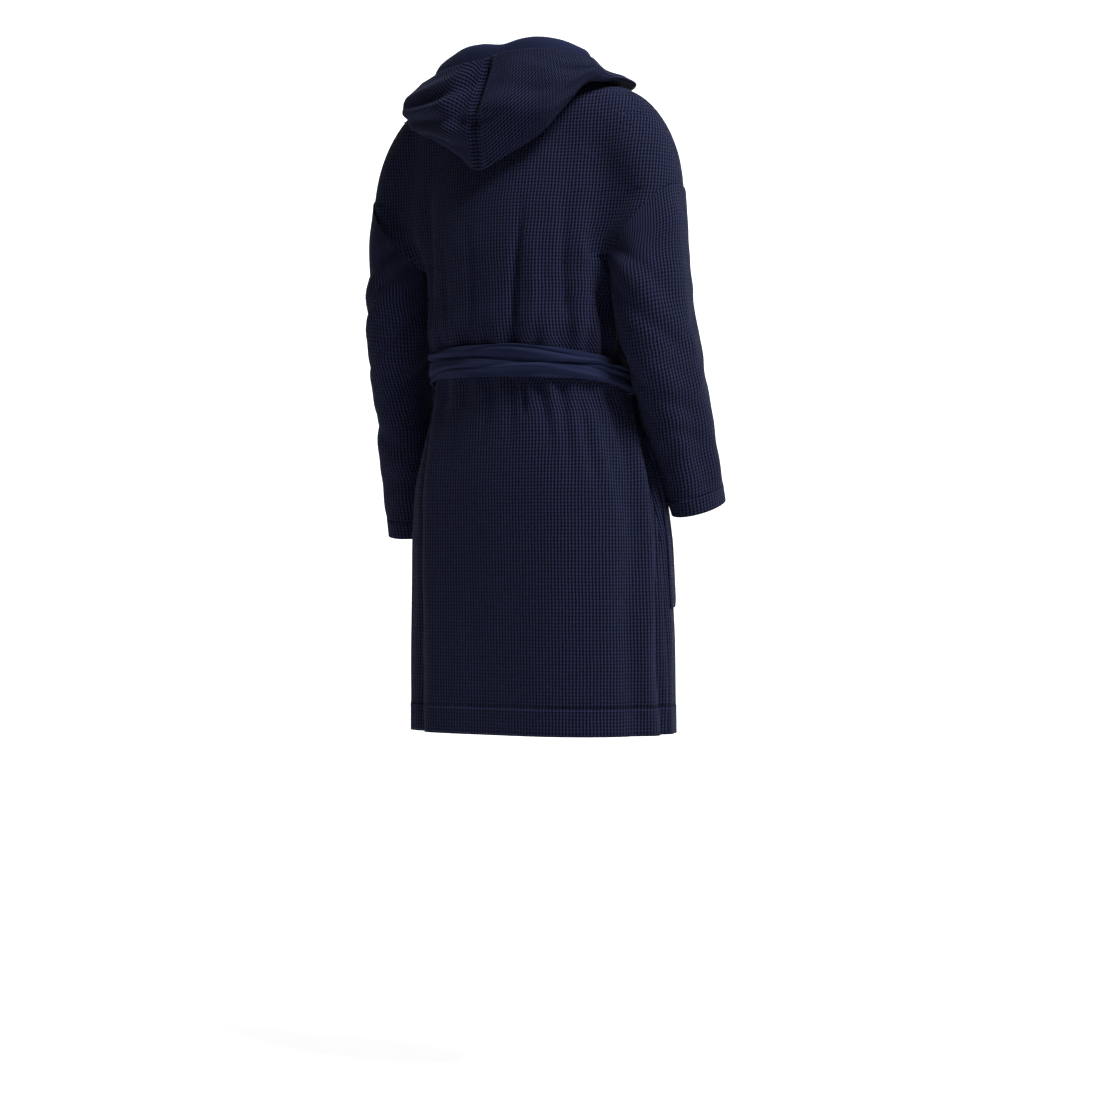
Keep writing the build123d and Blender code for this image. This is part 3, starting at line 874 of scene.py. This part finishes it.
for name, source, body, way in (
    ("left_facing_upper", "left_front_upper", "torso", -1),
    ("left_flap_facing", "left_front_flap", "front_lap", -1),
    ("right_facing", "right_front", "torso", 1),
):
    inside_strip(name, grids[source], edge_columns(grids[source], FACING_WIDTH), body, way)

grid = body_grid(0, -0.012, NECK_TOP, from_left, to_right, step=0.004, cols=70)
n = normals_of(grid)
grid = grid - n * (THICK + 0.0008)
piece = cloth("neck_tape", grid, metres(grid, 35), 0.0012, jersey, 1)
finish_piece(piece, "torso", ["neck_tape"])

# ---------------------------------------------------------------- belt


def belt_surface(angles, offset, high):
    """Points of the robe's outer face at the belt, for angles round the waist in radians."""
    y_guess = 0.125 * np.sin(angles)
    z = belt_height(y_guess) + high
    width, deep, cx, cy = trunk_at(z)
    p = np.stack((cx + width * np.cos(angles), cy + deep * np.sin(angles), z), 1)
    p = lay(p, 0)
    n = slope(p, 0)[1]
    n /= np.linalg.norm(n, axis=1)[:, None]
    lap = LAP * smoothstep(0, 0.9, np.where(np.sin(angles) < 0, -np.sin(angles), 0))
    return p + n * (offset + lap)[:, None]


# Lengthwise creases: place across the belt from -1 to 1, drift, height and spread.
BELT_CREASES = (
    (0.66, 0.22, 0.0042, 0.12), (0.34, 0.30, -0.0058, 0.085), (0.02, 0.36, 0.0044, 0.15),
    (-0.28, 0.30, -0.0052, 0.080), (-0.58, 0.24, 0.0034, 0.13), (0.80, 0.12, -0.0030, 0.06),
    (0.50, 0.40, -0.0034, 0.055),
)
turns = np.linspace(radians(-46), radians(360 - 46), 420)
ups = np.linspace(-1, 1, 44)
rows = []
for up in ups:
    a = turns
    crease = 0.0
    for number, (place, drift, size, wide) in enumerate(BELT_CREASES):
        line = place + drift * np.sin(1.7 * a + 1.3 * number) + 0.10 * np.sin(5.1 * a + number)
        strength = 0.7 + 0.3 * np.sin(2.3 * a + 2 * number)
        crease = crease + size * bell((up - line) / wide) * strength
    roll = 0.0022 * (1 - up**2)
    edge = 0.0012 * np.sin(9 * a + 4 * up) * abs(up) ** 3
    narrow = 1 - 0.16 * bell((a - radians(150)) / 0.35)
    narrow = narrow - 0.10 * bell((a - radians(40)) / 0.4)
    height = BELT_HALF * 1.04 * up * narrow + 0.0012 * np.sin(3.3 * a) + 0.0045 * np.cos(a)
    rows.append(belt_surface(a, 0.0068 + crease + roll + edge, height))
grid = np.array(rows)
grids["belt"] = grid
uv = metres(grid, 0)[..., ::-1]
piece = cloth("belt", grid, uv, 0.0024, jersey, 1)
finish_piece(piece, "torso", ["belt"])


def tube_mesh(name, path, across, deep, ups, material, ring=28, wrinkle=0.0, seed=1):
    """A closed soft form along a path, with its own half width, half thickness and side direction at each point."""
    path = np.array(path, float)
    tangent = np.gradient(path, axis=0)
    tangent /= np.linalg.norm(tangent, axis=1)[:, None]
    side = np.array(ups, float)
    side -= (side * tangent).sum(1)[:, None] * tangent
    side /= np.linalg.norm(side, axis=1)[:, None]
    other = np.cross(tangent, side)
    turn = np.linspace(0, 2 * pi, ring, endpoint=False)
    c, s = np.cos(turn), np.sin(turn)
    power = 0.8
    c, s = np.sign(c) * np.abs(c) ** power, np.sign(s) * np.abs(s) ** power
    table = waves(6, 2, 7, seed)
    fold = 1 + wrinkle * np.array([ripple(turn, k * 0.35, table, 2.0) for k in range(len(path))])
    grid = path[:, None] + (across[:, None] * fold * c)[..., None] * side[:, None]
    grid = grid + (deep[:, None] * fold * s)[..., None] * other[:, None]
    count = len(path)
    points = np.concatenate((grid.reshape(-1, 3), path[:1], path[-1:]))
    index = np.arange(count * ring).reshape(count, ring)
    after = np.roll(index, -1, axis=1)
    faces = np.stack((index[:-1], after[:-1], after[1:], index[1:]), -1).reshape(-1, 4).tolist()
    faces += [[count * ring, after[0, k], index[0, k]] for k in range(ring)]
    faces += [[count * ring + 1, index[-1, k], after[-1, k]] for k in range(ring)]
    along = np.concatenate(([0], np.cumsum(np.linalg.norm(np.diff(path, axis=0), axis=1))))
    u = turn[None] * across.mean() + 0 * along[:, None]
    uv = np.stack((u, along[:, None] + 0 * u), -1).reshape(-1, 2)
    uv = np.concatenate((uv, [[0, 0], [0, along[-1]]]))
    return make_mesh(name, points, faces, uv, material)


# The knot lies over the left front, beside the fold of its lap.
knot_low, knot_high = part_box("belt_knot")
knot = (np.array(knot_low) + np.array(knot_high)) / 2
out_way = np.array((0.608, -0.794, 0.0))
side_way = np.array((0.794, 0.608, 0.0))
up_way = np.array((0, 0, 1.0))
share = np.linspace(0, 1, 40)
# The wrap that holds the knot: a flattened band over its middle, leaning a little.
arc = pi * (share * 1.15 - 0.075)
path = knot + np.outer(-np.cos(arc) * 0.021, up_way) + np.outer(np.sin(arc) * 0.013 - 0.004, out_way)
path = path + np.outer(0.007 * np.cos(arc), side_way)
wrap = tube_mesh("belt_knot", path, 0.0165 - 0.003 * np.abs(np.cos(arc)), 0.0042 + 0 * arc,
                 np.tile(side_way, (40, 1)), jersey, wrinkle=0.10, seed=5)
# The band that goes through it, pulled narrow to either side.
reach = np.linspace(-1, 1, 40)
path = knot + np.outer(reach * 0.034, side_way) + np.outer(-0.004 - 0.010 * reach**2, out_way)
path = path + np.outer(0.004 * np.sin(2.2 * reach), up_way)
through = tube_mesh("belt_knot_pass", path, 0.0125 + 0.010 * np.abs(reach) ** 1.4,
                    0.0060 - 0.002 * np.abs(reach), np.tile(up_way, (40, 1)), jersey, wrinkle=0.12, seed=9)
finish_piece(wrap, "torso", ["belt_knot"])
finish_piece(through, "torso", [])


def belt_tail(name, body, sign, length, seed):
    """A tail of the belt: it leaves the knot bunched, opens out and hangs over the skirt's front."""
    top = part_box(name)[1][2] + 0.006
    table = waves(5, 3, 9, seed)
    rows, count, cols = [], 90, 22
    for s in np.linspace(0, 1, count):
        z = top - length * s
        width, deep = (np.interp(z, PATTERN[:, 0], PATTERN[:, k]) + 0.0275 for k in (1, 2))
        lean = np.array((-0.012, -0.030)) * max(0.0, (FLAP_TOP - z) / (FLAP_TOP - HEM_Z))
        shift = np.interp(s, (0, 0.3, 1), (0.012, 0.020, 0.026))
        half = np.interp(s, (0, 0.06, 0.3, 1), (0.0095, 0.0125, 0.0195, 0.0245))
        x = 0.126 + sign * shift * 0.85
        turn = np.arcsin((x - lean[0]) / width)
        spot = np.array((x, lean[1] - deep * np.cos(turn), z))
        along = np.array((width * np.cos(turn), deep * np.sin(turn), 0))
        along /= np.linalg.norm(along)
        out = np.array((along[1], -along[0], 0))
        v = np.linspace(-1, 1, cols)
        bunch = 1 - smoothstep(0.0, 0.45, np.array([s]))[0]
        fold = 0.0042 * bunch * np.cos(3.2 * pi * v + seed)
        fold = fold + 0.0024 * (1 - bunch) * np.sin(1.7 * pi * v * 0.6 + 5 * s + seed)
        fold = fold + 0.0016 * ripple(v * 0.5, s * 3, table, 1.0)
        sway = 0.004 * np.sin(4.5 * s + seed) * s
        row = spot + np.outer(v * half + sway, along) + np.outer(fold - 0.0015, out)
        clear = np.interp(s, (0, 0.10, 0.25, 1), (0.014, 0.021, 0.027, 0.027))
        rows.append(row + out * np.clip(clear - form(row, 0).min(), 0, 0.03))
    grid = np.array(rows)
    for _ in range(6):
        grid[1:-1] = (grid[:-2] + 2 * grid[1:-1] + grid[2:]) / 4
    uv = np.stack((lengths(grid, 1), lengths(grid, 0)), -1)
    piece = cloth(name, grid, uv, 0.0022, jersey, -1)
    # Its top starts in the knot, and two points are given down from there.
    knot_end, free_end = (0.126, -0.112, top - 0.012), (0.126, -0.112, top - 0.085)
    finish_piece(piece, None, [name], ("torso", body, knot_end, free_end))
    grids[name] = grid


belt_tail("left_belt_tail", "left_tail", 1, 0.306, 2)
belt_tail("right_belt_tail", "right_tail", -1, 0.271, 4)

# ---------------------------------------------------------------- carriers and hanging loop


def strap(name, path, half, thick, side, body, nodes):
    """A narrow strip of cloth along a path, lying across one direction."""
    path = np.array(path, float)
    v = np.linspace(-1, 1, 7)
    grid = path[:, None] + (v * half)[None, :, None] * np.array(side, float)
    uv = np.stack((lengths(grid, 1), lengths(grid, 0)), -1)
    piece = cloth(name, grid, uv, thick, jersey, 1)
    finish_piece(piece, body, nodes)
    return piece, grid


for side, word in ((1, "left"), (-1, "right")):
    angle = 0.0 if side > 0 else pi
    spots = belt_surface(np.full(31, angle), np.zeros(31), np.linspace(-0.034, 0.034, 31))
    bulge = 0.0098 * np.clip(1 - np.abs(np.linspace(-1.12, 1.12, 31)) ** 6, 0, 1) + 0.0012
    path = spots + np.outer(bulge, (side, 0, 0))
    piece, grid = strap(f"{word}_belt_loop", path, LOOP_HALF, 0.0012, (0, side, 0), "torso",
        [f"{word}_belt_loop"])

low, high = (np.array(v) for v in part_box("hanging_loop"))
middle = (low + high) / 2
turn = np.linspace(radians(100), radians(440), 80)
half_w, half_h = (high[0] - low[0]) / 2 - LOOP_HALF, (high[2] - low[2]) / 2 - LOOP_HALF
c, s = np.cos(turn), np.sin(turn)
path = np.stack((middle[0] + half_w * np.sign(c) * np.abs(c) ** 0.6, middle[1] + 0 * c,
                 middle[2] + half_h * np.sign(s) * np.abs(s) ** 0.6), 1)
tangent = np.gradient(path, axis=0)
tangent /= np.linalg.norm(tangent, axis=1)[:, None]
across = np.cross(tangent, (0, 1, 0))
v = np.linspace(-1, 1, 6)
grid = path[:, None] + (v * LOOP_HALF)[None, :, None] * across[:, None]
uv = np.stack((lengths(grid, 1), lengths(grid, 0)), -1)
piece = cloth("hanging_loop", grid, uv, 0.0013, jersey, 1)
finish_piece(piece, "hanger", ["hanging_loop"])

# ---------------------------------------------------------------- pockets


def front_patch(name, side, z_low, z_high, a_low, a_high, height, thick, material, body, step=0.0055):
    """A patch on a front between two heights and two angles. height gives how far it stands off."""
    z = np.linspace(z_low, z_high, max(8, int((z_high - z_low) / step)))
    width, deep = (np.interp(z, PATTERN[:, 0], PATTERN[:, k]) for k in (1, 2))
    cx, cy = trunk_at(z)[2:]
    a = np.linspace(radians(a_low), radians(a_high), 34)
    x = cx[:, None] + side * width[:, None] * np.cos(a)
    y = cy[:, None] - deep[:, None] * np.sin(a)
    flat = np.stack((x, y, np.broadcast_to(z[:, None], x.shape)), -1).reshape(-1, 3)
    laid = lay(flat, 0)
    n = slope(laid, 0)[1]
    n /= np.linalg.norm(n, axis=1)[:, None]
    out = body_folds(laid)
    if side > 0:
        now = angle_of(laid)
        out += LAP * smoothstep(0, 55, np.minimum(np.abs(360 - now), now) % 360)
    u = np.broadcast_to(np.linspace(0, 1, 34)[None], x.shape)
    w = np.broadcast_to(np.linspace(0, 1, len(z))[:, None], x.shape)
    laid += n * (out + height(u, w).ravel())[:, None]
    grid = laid.reshape(*x.shape, 3)
    uv = metres(grid, 0)
    piece = cloth(name, grid, uv, thick, material, -side)
    finish_piece(piece, body, [name])
    grids[name] = grid


def bag(u, w):
    rim = np.minimum(1, np.minimum(u, 1 - u) / 0.09) ** 0.6 * np.minimum(1, w / 0.05) ** 0.6
    return 0.0026 + rim * (0.0008 + 0.0030 * np.sin(pi * u) * (0.4 + 0.6 * w))


def mouth(u, w):
    return bag(u, 0.84 + 0.16 * w) + 0.0018


for side, word in ((1, "left"), (-1, "right")):
    front_patch(f"{word}_pocket", side, -0.845, -0.574, 5, 53, bag, 0.0024, waffle, "torso")
    front_patch(f"{word}_pocket_band", side, -0.612, -0.5735, 5, 53, mouth, 0.0014, jersey, "torso")

# ---------------------------------------------------------------- hood

# From the wearer's left end round the back to the right end: neck seam, top ridge of the lining, inside of the
# bag, bottom inside, bottom outside, belly and lip of the outer layer. Each is (X, Y, Z).
HOOD = (
    ((0.060, -0.050, 0.002), (0.068, -0.056, 0.002), (0.074, -0.060, -0.002), (0.080, -0.064, -0.006),
     (0.086, -0.068, -0.008), (0.088, -0.068, -0.004), (0.080, -0.062, 0.000)),
    ((0.074, -0.040, 0.004), (0.100, -0.046, 0.006), (0.108, -0.050, 0.000), (0.118, -0.056, -0.008),
     (0.126, -0.058, -0.012), (0.130, -0.058, -0.006), (0.118, -0.052, 0.000)),
    ((0.083, -0.020, 0.004), (0.130, -0.020, 0.016), (0.140, -0.022, 0.004), (0.156, -0.024, -0.010),
     (0.166, -0.024, -0.014), (0.168, -0.024, -0.006), (0.158, -0.022, 0.004)),
    ((0.084, 0.010, 0.006), (0.140, 0.024, 0.022), (0.153, 0.030, 0.000), (0.166, 0.036, -0.018),
     (0.180, 0.042, -0.026), (0.184, 0.042, -0.012), (0.168, 0.036, 0.004)),
    ((0.078, 0.030, 0.006), (0.124, 0.052, 0.030), (0.142, 0.060, -0.002), (0.160, 0.066, -0.036),
     (0.177, 0.073, -0.052), (0.186, 0.078, -0.026), (0.160, 0.070, 0.002)),
    ((0.066, 0.044, 0.006), (0.098, 0.070, 0.040), (0.116, 0.080, -0.010), (0.136, 0.086, -0.060),
     (0.150, 0.096, -0.080), (0.168, 0.106, -0.040), (0.130, 0.094, 0.006)),
    ((0.048, 0.055, 0.006), (0.070, 0.082, 0.049), (0.082, 0.096, -0.020), (0.092, 0.104, -0.092),
     (0.104, 0.112, -0.099), (0.124, 0.132, -0.052), (0.088, 0.116, 0.014)),
    ((0.025, 0.062, 0.006), (0.035, 0.088, 0.050), (0.046, 0.103, -0.030), (0.052, 0.112, -0.112),
     (0.058, 0.125, -0.125), (0.072, 0.151, -0.064), (0.044, 0.128, 0.018)),
    ((0.000, 0.064, 0.006), (-0.004, 0.092, 0.046), (0.004, 0.106, -0.030), (0.012, 0.116, -0.120),
     (0.016, 0.137, -0.151), (0.010, 0.158, -0.062), (-0.002, 0.130, 0.026)),
    ((-0.024, 0.062, 0.006), (-0.036, 0.090, 0.053), (-0.034, 0.104, -0.024), (-0.034, 0.114, -0.108),
     (-0.038, 0.131, -0.125), (-0.046, 0.155, -0.048), (-0.044, 0.131, 0.032)),
    ((-0.046, 0.056, 0.006), (-0.064, 0.084, 0.056), (-0.070, 0.098, -0.010), (-0.078, 0.108, -0.082),
     (-0.088, 0.121, -0.098), (-0.098, 0.137, -0.038), (-0.084, 0.120, 0.034)),
    ((-0.064, 0.046, 0.006), (-0.092, 0.073, 0.050), (-0.102, 0.086, 0.004), (-0.108, 0.096, -0.048),
     (-0.121, 0.106, -0.062), (-0.134, 0.114, -0.020), (-0.118, 0.100, 0.030)),
    ((-0.076, 0.032, 0.006), (-0.120, 0.055, 0.038), (-0.126, 0.064, 0.012), (-0.132, 0.072, -0.012),
     (-0.146, 0.080, -0.022), (-0.158, 0.083, 0.000), (-0.145, 0.074, 0.024)),
    ((-0.083, 0.010, 0.006), (-0.142, 0.028, 0.026), (-0.146, 0.034, 0.010), (-0.152, 0.040, -0.006),
     (-0.166, 0.046, -0.012), (-0.176, 0.047, 0.002), (-0.166, 0.040, 0.015)),
    ((-0.083, -0.020, 0.004), (-0.150, -0.018, 0.008), (-0.156, -0.018, -0.002), (-0.166, -0.018, -0.012),
     (-0.178, -0.018, -0.016), (-0.186, -0.018, -0.010), (-0.172, -0.018, 0.000)),
    ((-0.074, -0.040, 0.004), (-0.116, -0.050, 0.006), (-0.124, -0.054, 0.000), (-0.136, -0.060, -0.008),
     (-0.148, -0.064, -0.012), (-0.152, -0.064, -0.006), (-0.138, -0.058, 0.000)),
    ((-0.060, -0.050, 0.002), (-0.070, -0.058, 0.002), (-0.078, -0.063, -0.002), (-0.086, -0.068, -0.006),
     (-0.094, -0.073, -0.008), (-0.096, -0.073, -0.004), (-0.086, -0.066, 0.000)),
)


def catmull(rows, count, axis=0):
    """Points along a smooth curve through rows of a grid, with the same count between each two rows."""
    rows = np.moveaxis(np.asarray(rows, float), axis, 0)
    ends = np.concatenate((2 * rows[:1] - rows[1:2], rows, 2 * rows[-1:] - rows[-2:-1]))
    t = np.linspace(0, len(rows) - 1, count)
    i = np.minimum(t.astype(int), len(rows) - 2)
    f = (t - i).reshape(-1, *([1] * (rows.ndim - 1)))
    a, b, c, d = (ends[i + k] for k in range(4))
    got = 0.5 * (2 * b + (c - a) * f + (2 * a - 5 * b + 4 * c - d) * f**2 + (3 * b - a - 3 * c + d) * f**3)
    return np.moveaxis(got, 0, axis)


def eased(grid, share, rounds):
    """The grid with its inner points drawn towards their neighbours' middle, as far as share says."""
    for _ in range(rounds):
        middle = grid.copy()
        middle[1:-1, 1:-1] = (grid[:-2, 1:-1] + grid[2:, 1:-1] + grid[1:-1, :-2] + grid[1:-1, 2:]) / 4
        middle[0, 1:-1] = (grid[0, :-2] + grid[0, 2:]) / 2
        middle[-1, 1:-1] = (grid[-1, :-2] + grid[-1, 2:]) / 2
        grid = grid + share * (middle - grid)
    return grid


SEAM_ROW = 160
hood = catmull(catmull(HOOD, 2 * SEAM_ROW + 1, 0), 150, 1)
s = np.linspace(-2, 14, 2 * SEAM_ROW + 1)[:, None]
t = np.linspace(0, 6, 150)[None, :]
# Its ends lie on the shoulders, one layer on the other, and no part of it sinks into them.
hug = 1 - smoothstep(1.4, 3.8, np.minimum(s + 2, 14 - s) + 0 * t)
lift = np.interp(t + 0 * s, range(7), (0.004, 0.009, 0.008, 0.0065, 0.0085, 0.0145, 0.0150))
for _ in range(4):
    gap, way = slope(hood.reshape(-1, 3), 0)
    gap, way = gap.reshape(hood.shape[:2]), way.reshape(hood.shape)
    size = np.maximum((way * way).sum(2), 0.2)
    want = np.where(gap < 0.0035, 0.0035, gap)
    want = want * (1 - hug) + lift * hug
    hood = hood + way * ((want - gap) / size)[..., None]
hood = eased(hood, hug[..., None], 30)
n = normals_of(hood)
outer = smoothstep(3.6, 4.4, t) * (1 - smoothstep(5.75, 6.0, t))
visible = smoothstep(3.3, 3.9, t)
# The centre seam is pulled in, with a pinch half way down, and soft folds run across the left half.
fold = -0.0080 * bell((s - 6.0) / 0.10) * outer
fold = fold - 0.0100 * bell((s - 5.55 - 0.12 * (t - 5)) / 0.28) * bell((t - 5.25) / 0.5)
fold = fold + 0.0050 * bell((s - 5.05) / 0.30) * bell((t - 5.2) / 0.7)
pinch = bell((t - 4.82 + 0.05 * (s - 6)) / 0.055)
fold = fold - 0.0065 * pinch * bell((s - 6.1) / 0.55)
fold = fold + 0.0040 * bell((t - 5.02) / 0.16) * bell((s - 6.25) / 0.6)
for place, slant_by, size, wide, centre, spread in (
    (4.50, 0.16, 0.0060, 0.095, 4.2, 1.0), (4.76, 0.20, -0.0068, 0.080, 4.2, 1.0), (5.04, 0.22, 0.0062,
        0.090, 4.1, 1.0),
    (5.30, 0.20, -0.0066, 0.085, 4.3, 0.9), (5.58, 0.16, 0.0045, 0.090, 4.0, 1.0), (4.32, 0.10, -0.0040,
        0.070, 4.6, 0.8),
    (4.66, -0.16, 0.0040, 0.120, 7.6, 0.9), (5.08, -0.20, -0.0040, 0.130, 7.8, 0.9), (5.55, -0.10, 0.0036,
        0.120, 8.6, 1.0),
    (5.30, -0.30, -0.0040, 0.100, 9.3, 0.8), (4.90, 0.05, 0.0030, 0.100, 9.0, 0.9),
):
    line = t - place - slant_by * (s - centre)
    fold = fold + size * bell(line / wide) * bell((s - centre) / spread) * outer
fold = fold + 0.0012 * ripple(s * 1.0, t * 1.0, waves(7, 1.5, 5.0, 41), 1.5) * visible
inner = bell((t - 1.0) / 0.7)
fold = fold + 0.0030 * inner * ripple(s, t, waves(6, 1.2, 3.2, 43), 1.2)
sign = np.sign((n * np.array((0, 1.0, 0))).sum(2)[SEAM_ROW, 125])
hood = hood + n * (fold * sign)[..., None]
n = normals_of(hood) * sign
along = lengths(hood, 1)
around = lengths(hood, 0)
row = 112
across = np.broadcast_to(around[:, row:row + 1] - around[SEAM_ROW, row], along.shape)
hood_uv = np.stack((along, across), -1)
for word, cols in (("left", slice(0, SEAM_ROW + 1)), ("right", slice(SEAM_ROW, None))):
    grid = hood[cols]
    piece = cloth(f"hood_{word}_panel", grid, hood_uv[cols], 0.0026, waffle_hood, sign)
    finish_piece(piece, None, [f"hood_{word}_panel"], HOOD_BEND)
    grids[f"hood_{word}_panel"] = grid
    grid = (hood - n * 0.0030)[cols]
    trim = grid[:, :-1]
    piece = cloth(f"hood_{word}_lining", trim, hood_uv[cols][:, :-1], LINING_THICK, jersey, sign)
    finish_piece(piece, None, [f"hood_{word}_lining"], HOOD_BEND)

# ---------------------------------------------------------------- stitches


def stitches(name, path, out, body, bend=None, pitch=0.0034, long=0.0023, radius=0.00042):
    """A row of small stitches along a path on the cloth; out is its outward direction there."""
    along = np.concatenate(([0], np.cumsum(np.linalg.norm(np.diff(path, axis=0), axis=1))))
    count = max(2, int(along[-1] / pitch))
    places = (np.arange(count) + 0.5) * along[-1] / count
    spot = np.stack([np.interp(places, along, path[:, k]) for k in range(3)], 1)
    up = np.stack([np.interp(places, along, out[:, k]) for k in range(3)], 1)
    up /= np.linalg.norm(up, axis=1)[:, None]
    ahead = np.stack([np.interp(places + 0.0005, along, path[:, k]) for k in range(3)], 1)
    back_by = np.stack([np.interp(places - 0.0005, along, path[:, k]) for k in range(3)], 1)
    way = ahead - back_by
    way /= np.maximum(np.linalg.norm(way, axis=1), 1e-9)[:, None]
    side = np.cross(way, up)
    sides = 6
    rings = ((-0.5, 0.35), (-0.36, 0.9), (0.0, 1.0), (0.36, 0.9), (0.5, 0.35))
    points = []
    for place, wide in rings:
        for k in range(sides):
            a = 2 * pi * k / sides
            sunk = 0.3 * radius - radius * (2 * place) ** 2
            high = sunk + radius * wide * sin(a)
            points.append(spot + way * (place * long) + up * high + side * (radius * wide * cos(a)))
    points = np.stack(points, 1)
    faces = []
    per = len(rings) * sides
    for n_stitch in range(count):
        base = n_stitch * per
        for r in range(len(rings) - 1):
            for k in range(sides):
                a, b = base + r * sides + k, base + r * sides + (k + 1) % sides
                faces.append((a, a + sides, b + sides, b))
        faces.append(tuple(base + k for k in range(sides)))
        faces.append(tuple(base + per - 1 - k for k in range(sides)))
    run = np.repeat(places, per)
    uv = np.stack((run * 0 + np.tile(np.arange(per) * radius, count), run), -1)
    piece = make_mesh(name, points.reshape(-1, 3), faces, uv, thread, smooth=False)
    finish_piece(piece, body, [], bend)


def along_row(name, share, sign, rows=(-1, -2)):
    """A path between two rows of a piece's grid, and its outward directions."""
    grid = grids[name]
    n = normals_of(grid) * sign
    a, b = rows
    return grid[a] * (1 - share) + grid[b] * share, n[a] * (1 - share) + n[b] * share


def along_column(name, inset, sign, end=-1):
    """A path up a piece, at a distance in from one of its side edges."""
    grid = grids[name]
    n = normals_of(grid) * sign
    across = lengths(grid, 1)
    if end == -1:
        across = across[:, -1:] - across
    cols = np.arange(grid.shape[1])[:: 1 if end != -1 else -1]
    path, out = [], []
    for r in range(grid.shape[0]):
        if across[r].max() < inset * 1.5:
            continue
        path.append([np.interp(inset, across[r, cols], grid[r, cols, k]) for k in range(3)])
        out.append([np.interp(inset, across[r, cols], n[r, cols, k]) for k in range(3)])
    return np.array(path), np.array(out)


for name, way in (("back_hem", 1), ("left_front_hem", -1), ("left_flap_hem", -1), ("right_front_hem", 1)):
    body = "front_lap" if name == "left_flap_hem" else "torso"
    stitches(f"{name}_stitches", *along_row(name, 0.55, way), body, LAP_BEND if body == "front_lap" else None)
for side, word in ((1, "left"), (-1, "right")):
    bend = ("torso", f"{word}_arm", (side * 0.200, 0, -0.215), (side * 0.235, 0, -0.36))
    stitches(f"{word}_cuff_stitches", *along_row(f"{word}_cuff", 0.7, -side, (0, 1)), None, bend)
    for number, end in enumerate((-1, 0)):
        path, out = along_column(f"{word}_pocket", 0.004, -side, end)
        stitches(f"{word}_pocket_side_stitches_{number + 1}", path, out, "torso")
    stitches(f"{word}_pocket_bottom_stitches", *along_row(f"{word}_pocket", 0.7, -side, (0, 1)), "torso")
    stitches(f"{word}_pocket_band_stitches", *along_row(f"{word}_pocket_band", 0.6, -side, (0, 1)), "torso")
for name, way, body in (
    ("left_front_upper", -1, "torso"), ("left_front_flap", -1, "front_lap"), ("right_front", 1, "torso")
):
    bend = LAP_BEND if body == "front_lap" else None
    stitches(f"{name}_edge_stitches", *along_column(name, 0.0375, way), body, bend)
hood_out = normals_of(hood) * sign
for number, row in enumerate((SEAM_ROW - 5, SEAM_ROW + 5)):
    shown = slice(88, 149)
    stitches(f"hood_seam_stitches_{number + 1}", hood[row, shown], hood_out[row, shown], None, HOOD_BEND)

# ---------------------------------------------------------------- stage, light and camera

AZIMUTH = 208.0
DISTANCE = 4.5
back = np.array((sin(radians(AZIMUTH)), -cos(radians(AZIMUTH)), 0))
right = np.array((cos(radians(AZIMUTH)), sin(radians(AZIMUTH)), 0))
eye = back * DISTANCE + right * 0.036 + np.array((0, 0, -0.753))
camera_data = bpy.data.cameras.new("camera")
camera_data.angle = radians(22.38)
camera = bpy.data.objects.new("camera", camera_data)
camera.location = eye
camera.rotation_euler = (radians(90), 0, radians(AZIMUTH))
bpy.context.scene.collection.objects.link(camera)
bpy.context.scene.camera = camera

bpy.context.scene.view_settings.view_transform = "Standard"
bpy.context.scene.view_settings.look = "None"

FLOOR_Z = -1.62
mesh = bpy.data.meshes.new("studio")
count, reach = 24, 9.0
sweep = np.linspace(0, pi / 2, count)
profile = [(-reach, FLOOR_Z)] + [(4.0 + 1.5 * sin(a),
    FLOOR_Z + 1.5 - 1.5 * cos(a)) for a in sweep] + [(5.5, 6.0)]
vertices, faces = [], []
for along, high in profile:
    for wide in (-reach, reach):
        spot = -back * along + right * wide
        vertices.append((spot[0], spot[1], high))
for k in range(len(profile) - 1):
    faces.append((2 * k, 2 * k + 1, 2 * k + 3, 2 * k + 2))
mesh.from_pydata(vertices, [], faces)
mesh.polygons.foreach_set("use_smooth", [True] * len(mesh.polygons))
studio = bpy.data.objects.new("studio", mesh)
bpy.context.scene.collection.objects.link(studio)
pale, _, _, shader = new_material("studio_paper")
shader.inputs["Base Color"].default_value = (0.86, 0.86, 0.86, 1)
shader.inputs["Roughness"].default_value = 0.95
shader.inputs["Emission Color"].default_value = (1, 1, 1, 1)
shader.inputs["Emission Strength"].default_value = 0.62
mesh.materials.append(pale)

world = bpy.data.worlds.new("studio_light")
world.use_nodes = True
world.node_tree.nodes["Background"].inputs[0].default_value = (1, 1, 1, 1)
world.node_tree.nodes["Background"].inputs[1].default_value = 0.11
bpy.context.scene.world = world


def area_light(name, place, target, size, power):
    data = bpy.data.lights.new(name, "AREA")
    data.size = size
    data.energy = power
    light = bpy.data.objects.new(name, data)
    light.location = place
    way = np.array(target) - np.array(place)
    light.rotation_euler = Vector(way).to_track_quat("-Z", "Y").to_euler()
    bpy.context.scene.collection.objects.link(light)


middle = np.array((0, 0, -0.4))
area_light("key", middle + back * 1.7 + right * 1.7 + np.array((0, 0, 3.0)), middle, 1.1, 400)
area_light("rim", middle - back * 1.2 + right * 2.2 + np.array((0, 0, 1.6)), middle, 1.2, 15)

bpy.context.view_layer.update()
